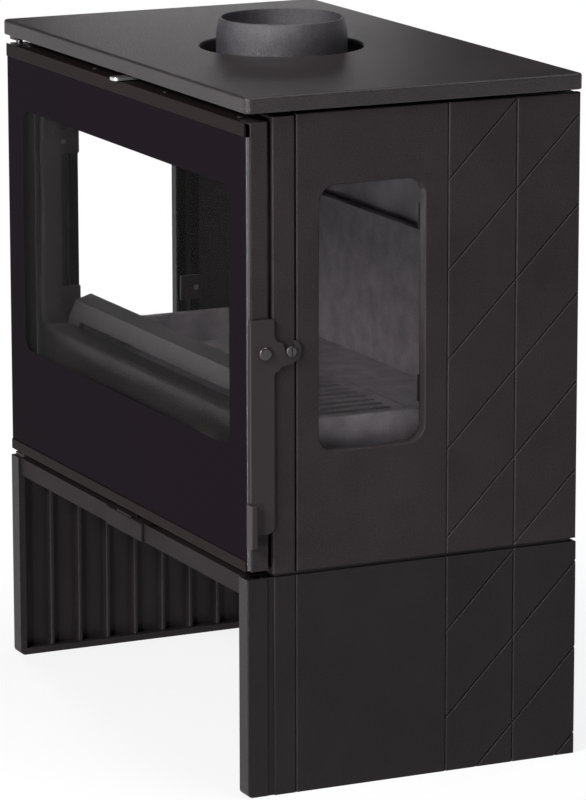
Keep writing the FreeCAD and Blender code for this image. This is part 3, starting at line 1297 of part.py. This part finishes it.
def airwash_rod():
    """A flat pull rod with a cross plate that covers the airwash slots."""
    body = new_body("airwash_rod")
    half = "rodWidth / 2"
    bar = rect(f"-({half})", half, "rodFront", "shutterFront")
    pad(body, "z", "rodLow", "rodThick", bar)
    plate = rect("-shutterWidth / 2", "shutterWidth / 2", "shutterFront", "shutterFront + shutterDepth")
    pad(body, "z", "rodLow", "rodThick", plate)
    front = value("rodFront")
    fillet(body, "windowRim / 2", lambda e: runs_along(e, "z") and near(e.BoundBox.Center.y, front))
    return body


def check(nodes):
    """Stop if any feature failed, cut nothing, or left a broken solid."""
    for item in doc.Objects:
        bad = {"Invalid", "Error"} & set(item.State)
        if bad:
            raise RuntimeError(f"{item.Name} is {bad}")
        if item.TypeId == "PartDesign::Pocket" and item.BaseFeature is not None:
            if item.BaseFeature.Shape.Volume - item.Shape.Volume < 1:
                raise RuntimeError(f"{item.Name} cuts nothing")
    for node in nodes:
        if node.Shape.isNull() or not node.Shape.isValid():
            raise RuntimeError(f"{node.Label} has no valid shape")


main()
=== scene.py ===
import json
import math

import bpy
import numpy as np
from mathutils import Matrix, Vector


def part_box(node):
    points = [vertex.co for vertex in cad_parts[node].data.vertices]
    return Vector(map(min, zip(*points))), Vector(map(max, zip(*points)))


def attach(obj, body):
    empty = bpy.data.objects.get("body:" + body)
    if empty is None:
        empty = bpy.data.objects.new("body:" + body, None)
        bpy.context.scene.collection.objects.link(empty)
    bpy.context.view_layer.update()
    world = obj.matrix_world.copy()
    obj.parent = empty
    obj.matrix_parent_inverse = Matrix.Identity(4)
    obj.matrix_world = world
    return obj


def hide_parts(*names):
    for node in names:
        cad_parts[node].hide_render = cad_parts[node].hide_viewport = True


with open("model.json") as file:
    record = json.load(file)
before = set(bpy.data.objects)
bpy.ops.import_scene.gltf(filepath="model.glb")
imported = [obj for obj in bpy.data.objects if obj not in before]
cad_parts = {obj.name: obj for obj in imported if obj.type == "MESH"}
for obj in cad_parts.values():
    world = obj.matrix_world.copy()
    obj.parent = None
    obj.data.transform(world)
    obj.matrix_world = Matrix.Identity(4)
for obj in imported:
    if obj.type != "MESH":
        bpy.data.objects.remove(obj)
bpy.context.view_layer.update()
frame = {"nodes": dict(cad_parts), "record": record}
nodes = frame["nodes"]
mm = 0.001  # one millimetre in metres
print("frame loaded:", len(nodes), "cast, sheet and glass pieces")


def linear(hexColour):
    # sRGB hex to linear RGBA
    srgb = [int(hexColour[i:i + 2], 16) / 255 for i in (1, 3, 5)]
    return [c / 12.92 if c <= 0.04045 else ((c + 0.055) / 1.055) ** 2.4 for c in srgb] + [1.0]


def addNode(tree, kind, inputs=None, **options):
    # one node with its settings; an input given as a socket is linked
    node = tree.nodes.new(kind)
    for key, value in options.items():
        setattr(node, key, value)
    for key, value in (inputs or {}).items():
        if isinstance(value, bpy.types.NodeSocket):
            tree.links.new(value, node.inputs[key])
        else:
            node.inputs[key].default_value = value
    return node


def newMaterial(name):
    material = bpy.data.materials.new(name)
    material.use_nodes = True
    tree = material.node_tree
    tree.nodes.clear()
    return material, tree


def finishMaterial(tree, shader):
    output = tree.nodes.new("ShaderNodeOutputMaterial")
    tree.links.new(shader.outputs[0], output.inputs["Surface"])


def perMetre(sizeMm):
    # noise scale whose features are about that many millimetres
    return 1.0 / (sizeMm * mm)


def setRamp(ramp, low, high, span):
    # tones from low to high over that span of the noise
    first, last = ramp.color_ramp.elements
    first.position, last.position = span
    first.color, last.color = linear(low), linear(high)


# what all sand castings share: how the noise is built up, and the spans of it that run from dark to light
sandCast = {"cloudDetail": 3.0, "grainDetail": 2.0, "grainRoughness": 0.6, "paintIor": 1.5,
            "paintSpan": (0.35, 0.65), "burntAndShadeSpan": (0.3, 0.7)}


def castPaint(name, look, burnt=None):
    # heat-proof paint sprayed on sand-cast iron: satin, with a sand grain in relief and tone, drawn coarser
    # than it is so that it shows; the hearth side of a wall has its own tones past a depth along one axis:
    # burnt grey on the back wall, soot and painted shade on the side walls
    material, tree = newMaterial(name)
    coords = addNode(tree, "ShaderNodeTexCoord").outputs["Object"]
    clouds = addNode(tree, "ShaderNodeTexNoise",
                     {"Vector": coords, "Scale": perMetre(look["cloudMm"]),
                      "Detail": sandCast["cloudDetail"]})
    grain = addNode(tree, "ShaderNodeTexNoise",
                    {"Vector": coords, "Scale": perMetre(look["grainMm"]), "Detail": sandCast["grainDetail"],
                     "Roughness": sandCast["grainRoughness"]})
    mottle = addNode(tree, "ShaderNodeMix",
                     {0: look["speckle"], 2: clouds.outputs["Fac"], 3: grain.outputs["Fac"]})
    tone = addNode(tree, "ShaderNodeValToRGB", {"Fac": mottle.outputs[0]})
    setRamp(tone, look["dark"], look["light"], sandCast["paintSpan"])
    colour = tone.outputs["Color"]
    # a hearth side: burnt grey iron on the back wall, soot and painted shade on the side walls
    if burnt:
        burntAndShadedTone = addNode(tree, "ShaderNodeValToRGB", {"Fac": clouds.outputs["Fac"]})
        setRamp(burntAndShadedTone, burnt["dark"], burnt["light"], sandCast["burntAndShadeSpan"])
        axes = addNode(tree, "ShaderNodeSeparateXYZ", {"Vector": coords})
        depth = addNode(tree, "ShaderNodeMapRange", {"Value": axes.outputs[burnt["axis"]],
                                                     "From Min": burnt["start"], "From Max": burnt["end"]})
        both = addNode(tree, "ShaderNodeMix", {0: depth.outputs[0], 6: colour, 7: burntAndShadedTone.outputs["Color"]},
                       data_type="RGBA")
        colour = both.outputs[2]
    bump = addNode(tree, "ShaderNodeBump",
                   {"Height": grain.outputs["Fac"], "Strength": look["grain"],
                    "Distance": look["grainMm"] * mm})
    shader = addNode(tree, "ShaderNodeBsdfPrincipled",
                     {"Base Color": colour, "Normal": bump.outputs["Normal"], "Roughness": look["roughness"],
                      "IOR": sandCast["paintIor"], "Specular IOR Level": look["gloss"]})
    finishMaterial(tree, shader)
    return material


def smoothCoat(name, look):
    # sprayed, blackened, plated or polished steel, fired enamel and ground glass: even, without grain
    material, tree = newMaterial(name)
    shader = addNode(tree, "ShaderNodeBsdfPrincipled",
                     {"Base Color": linear(look["colour"]), "Roughness": look["roughness"],
                      "Metallic": look["metallic"], "Specular IOR Level": look["gloss"]})
    finishMaterial(tree, shader)
    return material


def ceramicGlass(name, look):
    # drawn glass ceramic with a coat that mirrors little: clear and polished
    material, tree = newMaterial(name)
    shader = addNode(tree, "ShaderNodeBsdfPrincipled",
                     {"Base Color": linear(look["tint"]), "Roughness": 0.0, "IOR": look["ior"],
                      "Transmission Weight": 1.0})
    finishMaterial(tree, shader)
    return material


def braid(name, look):
    # knitted glass-fibre rope and tape: matt, dark, with a tight knit
    material, tree = newMaterial(name)
    coords = addNode(tree, "ShaderNodeTexCoord").outputs["Object"]
    knit = addNode(tree, "ShaderNodeTexVoronoi", {"Vector": coords, "Scale": perMetre(look["knitMm"])})
    tone = addNode(tree, "ShaderNodeValToRGB", {"Fac": knit.outputs["Distance"]})
    setRamp(tone, look["light"], look["dark"], look["span"])
    bump = addNode(tree, "ShaderNodeBump",
                   {"Height": knit.outputs["Distance"], "Strength": look["relief"],
                    "Distance": look["reliefMm"] * mm}, invert=True)
    shader = addNode(tree, "ShaderNodeBsdfPrincipled",
                     {"Base Color": tone.outputs["Color"], "Normal": bump.outputs["Normal"],
                      "Roughness": look["roughness"]})
    finishMaterial(tree, shader)
    return material


finishes = {
    "ironPaint": {"dark": "#211c1e", "light": "#373133", "cloudMm": 60, "grainMm": 1.4, "grain": 0.35,
                  "speckle": 0.75, "roughness": 0.42, "gloss": 0.18},
    # legs: the body's heat paint, made darker as painted shade for the dimmer light low down
    "shadedLegPaint": {"dark": "#191517", "light": "#2a2527", "cloudMm": 60, "grainMm": 1.4, "grain": 0.35,
                 "speckle": 0.75, "roughness": 0.42, "gloss": 0.18},
    # front rail and air slider: the body's heat paint, duller, and made darker as painted shade
    "shadedRailPaint": {"dark": "#191416", "light": "#2b2527", "cloudMm": 60, "grainMm": 1.4, "grain": 0.35,
                  "speckle": 0.75, "roughness": 0.5, "gloss": 0.05},
    "platePaint": {"dark": "#1d181a", "light": "#363033", "cloudMm": 60, "grainMm": 1.7, "grain": 0.5,
                   "speckle": 0.8, "roughness": 0.42, "gloss": 0.45},
    "collarPaint": {"dark": "#232024", "light": "#4b484e", "cloudMm": 9, "grainMm": 1.5, "grain": 0.9,
                    "speckle": 0.8, "roughness": 0.4, "gloss": 0.9},
    "barPaint": {"dark": "#332f30", "light": "#4c4849", "cloudMm": 9, "grainMm": 1.3, "grain": 0.35,
                 "speckle": 0.8, "roughness": 0.5, "gloss": 0.4},
    "hearthIron": {"dark": "#706a6f", "light": "#8a848a", "cloudMm": 25, "grainMm": 1.8, "grain": 0.25,
                   "speckle": 0.4, "roughness": 0.7, "gloss": 0.3},
    "sootAndShade": {"dark": "#0c0a0c", "light": "#161315"},  # tones only, for the side walls' hearth sides: soot, and painted shade in their window reveals
    "sheetPaint": {"colour": "#211b1b", "roughness": 0.4, "metallic": 0.0, "gloss": 0.015},
    "leverPaint": {"colour": "#2f292b", "roughness": 0.42, "metallic": 0.0, "gloss": 0.25},
    "boltPaint": {"colour": "#2c2628", "roughness": 0.24, "metallic": 0.0, "gloss": 0.6},
    "blackSteel": {"colour": "#6c696b", "roughness": 0.32, "metallic": 0.9, "gloss": 0.5},
    "wornSteel": {"colour": "#565356", "roughness": 0.42, "metallic": 0.9, "gloss": 0.5},
    "brightSteel": {"colour": "#c9c8c6", "roughness": 0.2, "metallic": 1.0, "gloss": 0.5},
    "zincPlate": {"colour": "#d6d6d8", "roughness": 0.3, "metallic": 0.88, "gloss": 0.6},
    "glass": {"tint": "#ffffff", "ior": 1.03},
    "rope": {"dark": "#0b0a0b", "light": "#1b1a1b", "knitMm": 2.2, "span": (0.1, 0.7), "relief": 0.6,
             "reliefMm": 0.5, "roughness": 0.95},
    "groundEdge": {"colour": "#56535a", "roughness": 0.22, "metallic": 0.0, "gloss": 0.6},
}
ironPaint = castPaint("heat paint on cast iron", finishes["ironPaint"])
# painted shade: the legs' copy of the body's paint, darker
shadedLegPaint = castPaint("heat paint on cast iron with painted shade for the legs", finishes["shadedLegPaint"])
# painted shade: the rail's copy of the body's paint, darker and duller
shadedRailPaint = castPaint("dull heat paint on cast iron with painted shade", finishes["shadedRailPaint"])
platePaint = castPaint("heat paint on coarser cast iron", finishes["platePaint"])
collarPaint = castPaint("heat paint on rough cast iron", finishes["collarPaint"])
barPaint = castPaint("heat paint burnt dull", finishes["barPaint"])
hearthIron = castPaint("burnt-in cast iron", finishes["hearthIron"])
sheetPaint = smoothCoat("black painted sheet steel", finishes["sheetPaint"])
leverPaint = smoothCoat("painted flat steel", finishes["leverPaint"])
boltPaint = smoothCoat("glossy paint on steel", finishes["boltPaint"])
blackSteel = smoothCoat("black oxide steel", finishes["blackSteel"])
wornSteel = smoothCoat("worn steel", finishes["wornSteel"])
brightSteel = smoothCoat("polished steel", finishes["brightSteel"])
zincPlate = smoothCoat("zinc-plated steel", finishes["zincPlate"])
clearGlass = ceramicGlass("clear glass ceramic", finishes["glass"])
fibreRope = braid("black glass-fibre knit", finishes["rope"])
groundEdge = smoothCoat("ground edge of glass ceramic", finishes["groundEdge"])

# walls whose hearth side has its own tones: the back wall burnt grey, the side walls sooted black with
# painted shade in their window reveals; for each its axis and direction, the depth in mm from its innermost
# point over which that shows, and its tones; the tones change over the fade
burntAndShadedWalls = {"fade": 0.3,
              "walls": {"back_panel": ("Y", -1, 0.9, "hearthIron"),
                        "left_side_panel": ("X", 1, 18.3, "sootAndShade"),
                        "right_side_panel": ("X", -1, 18.3, "sootAndShade")}}


def burntAndShadedWall(node, spec):
    axis, towards, deep, look = spec["walls"][node]
    low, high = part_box(node)
    index = "XYZ".index(axis)
    face = high[index] if towards > 0 else low[index]
    inside = dict(finishes[look], axis=axis, start=face - towards * (deep + spec["fade"]) * mm,
                  end=face - towards * deep * mm)
    return castPaint("heat paint, hearth side of " + node, finishes["ironPaint"], inside)


finishOfSlot = {
    "painted_cast_iron": ironPaint,
    "bare_iron": hearthIron,
    "painted_sheet": sheetPaint,
    "painted_steel": leverPaint,
    "steel_fastener": blackSteel,
    "door_glass": clearGlass,
    "window_glass": clearGlass,
    "gasket_rope": fibreRope,
    "gasket_tape": fibreRope,
}
ownFinish = {
    "flue_collar": collarPaint,
    "airwash_rod": zincPlate,
    "primary_air_slider": shadedRailPaint,
    "front_rail": shadedRailPaint,
    "left_leg": shadedLegPaint,
    "right_leg": shadedLegPaint,
    "top_plate": platePaint,
    "latch_pivot_bolt": boltPaint,
    "latch_keeper_pin": wornSteel,
    "log_retainer": barPaint,
    "left_clip_screws": brightSteel,
    "right_clip_screws": brightSteel,
}
for wall in burntAndShadedWalls["walls"]:
    ownFinish[wall] = burntAndShadedWall(wall, burntAndShadedWalls)


def paint(piece, material):
    piece.data.materials.clear()
    piece.data.materials.append(material)


for entry in frame["record"]["subparts"]:
    name = entry["node"]
    paint(nodes[name], ownFinish.get(name, finishOfSlot[entry["material_slot"]]))
print("finishes on", len(nodes), "pieces")

# folded and cut edges that a file has eased: width and weld in mm, angle in degrees
easedEdges = {"width": 0.5, "segments": 2, "angle": 50, "weld": 0.01,
              "pieces": ("front_rail", "primary_air_slider", "latch_lever", "top_glazing_strip",
                         "bottom_glazing_strip", "right_leg", "left_leg")}


def easeEdges(spec):
    # loose triangles are welded first, so that only real edges are bevelled
    for name in spec["pieces"]:
        weld = nodes[name].modifiers.new("weld", "WELD")
        weld.merge_threshold = spec["weld"] * mm
        ease = nodes[name].modifiers.new("eased edges", "BEVEL")
        ease.width, ease.segments = spec["width"] * mm, spec["segments"]
        ease.limit_method, ease.angle_limit = "ANGLE", math.radians(spec["angle"])


easeEdges(easedEdges)
print("edges eased on", len(easedEdges["pieces"]), "pieces")


def gridMesh(name, points, material, body, closeU=False, closeV=False):
    # mesh of a grid of points (rows, columns, xyz); closed ways wrap round to the start
    rows, columns = points.shape[:2]
    index = np.arange(rows * columns).reshape(rows, columns)
    down = np.vstack([index, index[:1]]) if closeU else index
    wide = np.hstack([down, down[:, :1]]) if closeV else down
    quads = np.stack([wide[:-1, :-1], wide[:-1, 1:], wide[1:, 1:], wide[1:, :-1]], axis=-1).reshape(-1, 4)
    mesh = bpy.data.meshes.new(name)
    mesh.from_pydata(points.reshape(-1, 3).tolist(), [], quads.tolist())
    mesh.polygons.foreach_set("use_smooth", np.ones(len(mesh.polygons), dtype=bool))
    piece = bpy.data.objects.new(name, mesh)
    bpy.context.collection.objects.link(piece)
    paint(piece, material)
    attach(piece, body)
    return piece


def roundedLoop(halfWide, halfHigh, radius, count):
    # rounded rectangle as one loop of points: each corner a quarter circle, the same angles for any size,
    # so that two loops of different size pair up point by point
    angles = (np.arange(count) + 0.5) / count * 2 * np.pi
    quarter = np.floor(angles / (np.pi / 2))
    middle = quarter * np.pi / 2 + np.pi / 4
    cornerX = (halfWide - radius) * np.sign(np.cos(middle))
    cornerZ = (halfHigh - radius) * np.sign(np.sin(middle))
    return cornerX + radius * np.cos(angles), cornerZ + radius * np.sin(angles)


# black border fired onto the door glass, round the clear window: sizes in mm
border = {"clearHalfWide": 290, "clearLow": 386, "clearTop": 673, "clearCorner": 18, "edge": 1.0,
          "outerCorner": 2, "proud": 0.06, "points": 96,
          "enamel": {"colour": "#171117", "roughness": 0.04, "metallic": 0.0, "gloss": 0.003}}


def printedBorder(spec):
    # flat ring: rows run from the outer loop to the inner loop, both rounded rectangles
    low, high = (np.array(corner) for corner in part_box("door_glass"))
    middleX = (low[0] + high[0]) / 2
    edge = spec["edge"] * mm
    outerX, outerZ = roundedLoop((high[0] - low[0]) / 2 - edge, (high[2] - low[2]) / 2 - edge,
                                 spec["outerCorner"] * mm, spec["points"])
    clearHalfHigh = (spec["clearTop"] - spec["clearLow"]) / 2 * mm
    innerX, innerZ = roundedLoop(spec["clearHalfWide"] * mm, clearHalfHigh, spec["clearCorner"] * mm,
                                 spec["points"])
    outerMiddle, innerMiddle = (low[2] + high[2]) / 2, (spec["clearTop"] + spec["clearLow"]) / 2 * mm
    y = np.full(spec["points"], low[1] - spec["proud"] * mm)
    outer = np.stack([outerX + middleX, y, outerZ + outerMiddle], axis=-1)
    inner = np.stack([innerX + middleX, y, innerZ + innerMiddle], axis=-1)
    enamel = smoothCoat("black fired enamel", spec["enamel"])
    return gridMesh("printed_border", np.stack([outer, inner]), enamel, "door", closeV=True)


printedBorder(border)
print("door glass has its printed border")

# ground upright edges of the door glass, each with a small arris front and back; the upper end hides in the
# strip: sizes in mm
groundEdges = {"arris": 0.5, "wrap": 1.2, "proud": 0.04, "underStrip": 13.0}


def groundEdgeOf(side, spec):
    # profile of five points round the edge, drawn straight up
    low, high = (np.array(corner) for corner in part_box("door_glass"))
    outer = high[0] if side > 0 else low[0]
    arris, wrap, proud = spec["arris"] * mm, spec["wrap"] * mm, spec["proud"] * mm
    x = outer + side * np.array([-wrap, -arris, proud, proud, -arris])
    y = np.array([low[1] - proud, low[1] - proud, low[1] + arris, high[1] - arris, high[1] - proud])
    ends = (low[2], high[2] - spec["underStrip"] * mm)
    rows = [np.stack([x, y, np.full(len(x), z)], axis=-1) for z in ends]
    name = "right_glass_edge" if side > 0 else "left_glass_edge"
    piece = gridMesh(name, np.stack(rows), groundEdge, "door")
    piece.data.polygons.foreach_set("use_smooth", np.zeros(len(piece.data.polygons), dtype=bool))


for side in (1, -1):
    groundEdgeOf(side, groundEdges)
print("door glass has its ground edges")

# knitted rope in the channel on the door's back: sizes in mm
rope = {"halfWide": 4.7, "corner": 9.0, "step": 1.6, "around": 26,
        "strands": 6, "pitch": 11.0, "relief": 0.32}


def doorRope(spec):
    # a tube along a rounded rectangle; its radius swells where the strands of both windings cross
    low, high = (np.array(corner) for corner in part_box("door_rope_gasket"))
    middle, half = (low + high) / 2, (high - low) / 2
    across, deep = spec["halfWide"] * mm, half[1]
    wide, tall, corner = half[0] - across, half[2] - across, spec["corner"] * mm
    straights = np.array([2 * (tall - corner), 2 * (wide - corner)] * 2)
    bend = corner * np.pi / 2
    total = straights.sum() + 4 * bend
    count = int(total / (spec["step"] * mm))
    along = np.arange(count) / count * total
    starts = np.concatenate([[0], np.cumsum(straights + bend)[:-1]])
    leg = np.searchsorted(starts, along, side="right") - 1
    past = along - starts[leg]
    straight = np.minimum(past, straights[leg])
    turn = np.maximum(past - straights[leg], 0) / corner
    heading = np.pi / 2 + leg * np.pi / 2
    fromX = np.array([wide, wide - corner, -wide, corner - wide])[leg]
    fromZ = np.array([corner - tall, tall, tall - corner, -tall])[leg]
    goX, goZ = np.cos(heading), np.sin(heading)
    outX, outZ = goZ, -goX
    x = fromX + goX * straight + corner * (outX * (np.cos(turn) - 1) + goX * np.sin(turn))
    z = fromZ + goZ * straight + corner * (outZ * (np.cos(turn) - 1) + goZ * np.sin(turn))
    facing = heading + turn
    normalX, normalZ = np.sin(facing), -np.cos(facing)
    angle = np.arange(spec["around"]) / spec["around"] * 2 * np.pi
    wind = 2 * np.pi * along[:, None] / (spec["pitch"] * mm)
    crossing = np.cos(spec["strands"] / 2 * angle + wind) * np.cos(spec["strands"] / 2 * angle - wind)
    swell = 1 - spec["relief"] * mm / across * (1 - np.abs(crossing))
    sideways = across * np.cos(angle) * swell
    points = np.stack([middle[0] + x[:, None] + normalX[:, None] * sideways,
                       middle[1] + deep * np.sin(angle) * swell,
                       middle[2] + z[:, None] + normalZ[:, None] * sideways], axis=-1)
    piece = gridMesh("knitted_door_rope", points, fibreRope, "door", closeU=True, closeV=True)
    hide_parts("door_rope_gasket")


doorRope(rope)
print("door rope is knitted")

# studio: a pale floor that runs out to white, a dim room, a soft lamp high above, one in front, a small one
# low down for the edges, one on the left and one at the rear for those sides, and a weak one behind for the
# top; lengths in metres, power in watts
studio = {
    "floorSize": 60, "floor": "#efefef", "bounce": "#5a5859",
    "fadeFrom": 0.3, "fadeTo": 1.1, "fadeStart": 0.78,
    "room": "#e9e9ea", "roomLight": 0.045,
    "lamps": {
        "high": {"power": 115, "size": (2.6, 2.6), "from": (1.2, 1.0, 4.8), "aim": (0, 0, 0.4),
                 "image": True},
        "rim": {"power": 165, "size": (1.6, 0.8), "from": (1.3, -3.1, 2.3), "aim": (0, 0, 0.4),
                "image": True},
        "low": {"power": 46, "size": (0.25, 0.5), "from": (2.15, -2.65, 0.35), "aim": (0, 0, 0.25),
                "image": True},
        "left": {"power": 60, "size": (0.5, 0.45), "from": (-3.0, 0.1, 0.5), "aim": (0, 0, 0.4),
                 "image": False},
        "rear": {"power": 60, "size": (0.8, 0.4), "from": (-0.8, 3.2, 0.3), "aim": (0, 0, 0.4),
                 "image": False},
        "back": {"power": 0.66, "size": (0.5, 0.25), "from": (-1.25, 0.5, 0.94), "aim": (-0.2, 0, 0.775),
                 "image": True},
    },
}


def paleFloor(spec):
    # one square under the stove: to the eye, in mirrors and through glass it is pale near the stove, where
    # the shadow falls, and white further off; the light that it throws back is greyer
    half = spec["floorSize"] / 2
    corners = [(-half, -half, 0), (half, -half, 0), (half, half, 0), (-half, half, 0)]
    mesh = bpy.data.meshes.new("floor")
    mesh.from_pydata(corners, [], [(0, 1, 2, 3)])
    floor = bpy.data.objects.new("floor", mesh)
    bpy.context.collection.objects.link(floor)
    material, tree = newMaterial("pale matt floor")
    path = addNode(tree, "ShaderNodeLightPath").outputs
    clear = addNode(tree, "ShaderNodeMath", {0: path["Is Camera Ray"], 1: path["Is Transmission Ray"]},
                    operation="MAXIMUM")
    seen = addNode(tree, "ShaderNodeMath", {0: clear.outputs[0], 1: path["Is Glossy Ray"]},
                   operation="MAXIMUM")
    near = addNode(tree, "ShaderNodeBsdfDiffuse", {"Color": linear(spec["floor"])})
    far = addNode(tree, "ShaderNodeEmission", {"Color": (1, 1, 1, 1), "Strength": 1.0})
    coords = addNode(tree, "ShaderNodeTexCoord").outputs["Object"]
    distance = addNode(tree, "ShaderNodeVectorMath", {0: coords}, operation="LENGTH")
    fade = addNode(tree, "ShaderNodeMapRange",
                   {"Value": distance.outputs["Value"], "From Min": spec["fadeFrom"],
                    "From Max": spec["fadeTo"], "To Min": spec["fadeStart"]},
                   interpolation_type="SMOOTHSTEP")
    pale = addNode(tree, "ShaderNodeMixShader", {0: fade.outputs[0], 1: near.outputs[0], 2: far.outputs[0]})
    bounce = addNode(tree, "ShaderNodeBsdfDiffuse", {"Color": linear(spec["bounce"])})
    shader = addNode(tree, "ShaderNodeMixShader",
                     {0: seen.outputs[0], 1: bounce.outputs[0], 2: pale.outputs[0]})
    finishMaterial(tree, shader)
    mesh.materials.append(material)


def softLamp(name, spec):
    # a rectangular soft lamp, its height the second size; one without image isn't mirrored in the paint
    lamp = bpy.data.lights.new(name, "AREA")
    lamp.shape = "RECTANGLE"
    lamp.energy = spec["power"]
    lamp.size, lamp.size_y = spec["size"]
    where, aim = Vector(spec["from"]), Vector(spec["aim"])
    holder = bpy.data.objects.new(name, lamp)
    holder.location = where
    holder.rotation_euler = (aim - where).to_track_quat("-Z", "Y").to_euler()
    holder.visible_camera = False
    holder.visible_glossy = spec["image"]
    bpy.context.collection.objects.link(holder)


def dimRoom(spec):
    # plain grey surroundings above the floor
    world = bpy.data.worlds.new("dim room")
    bpy.context.scene.world = world
    world.use_nodes = True
    tree = world.node_tree
    tree.nodes.clear()
    background = addNode(tree, "ShaderNodeBackground",
                         {"Color": linear(spec["room"]), "Strength": spec["roomLight"]})
    output = tree.nodes.new("ShaderNodeOutputWorld")
    tree.links.new(background.outputs[0], output.inputs["Surface"])


paleFloor(studio)
dimRoom(studio)
for lampName, lampSpec in studio["lamps"].items():
    softLamp(lampName, lampSpec)

# camera at the photograph's viewpoint: angles in degrees, lengths in metres
viewpoint = {"azimuth": 64.506, "elevation": 12.565, "roll": -0.093, "target": (0.00998, 0.00461, 0.35024),
             "distance": 5.5075, "lensMm": 214.2, "sensorMm": 36, "shiftX": 0.0040, "shiftY": 0.0126,
             "clipEnd": 60}


def placeCamera(spec):
    camera = bpy.data.cameras.new("viewpoint")
    camera.lens, camera.sensor_width = spec["lensMm"], spec["sensorMm"]
    camera.shift_x, camera.shift_y = spec["shiftX"], spec["shiftY"]
    camera.clip_end = spec["clipEnd"]
    holder = bpy.data.objects.new("viewpoint", camera)
    bpy.context.collection.objects.link(holder)
    around, above = math.radians(spec["azimuth"]), math.radians(spec["elevation"])
    level = math.cos(above)
    outwards = Vector((math.sin(around) * level, -math.cos(around) * level, math.sin(above)))
    place = Matrix.Translation(Vector(spec["target"]) + outwards * spec["distance"])
    look = (-outwards).to_track_quat("-Z", "Y").to_matrix().to_4x4()
    tilt = Matrix.Rotation(math.radians(spec["roll"]), 4, "Z")
    holder.matrix_world = place @ look @ tilt
    bpy.context.scene.camera = holder


placeCamera(viewpoint)
bpy.context.scene.view_settings.view_transform = "Standard"
print("studio and camera in place")
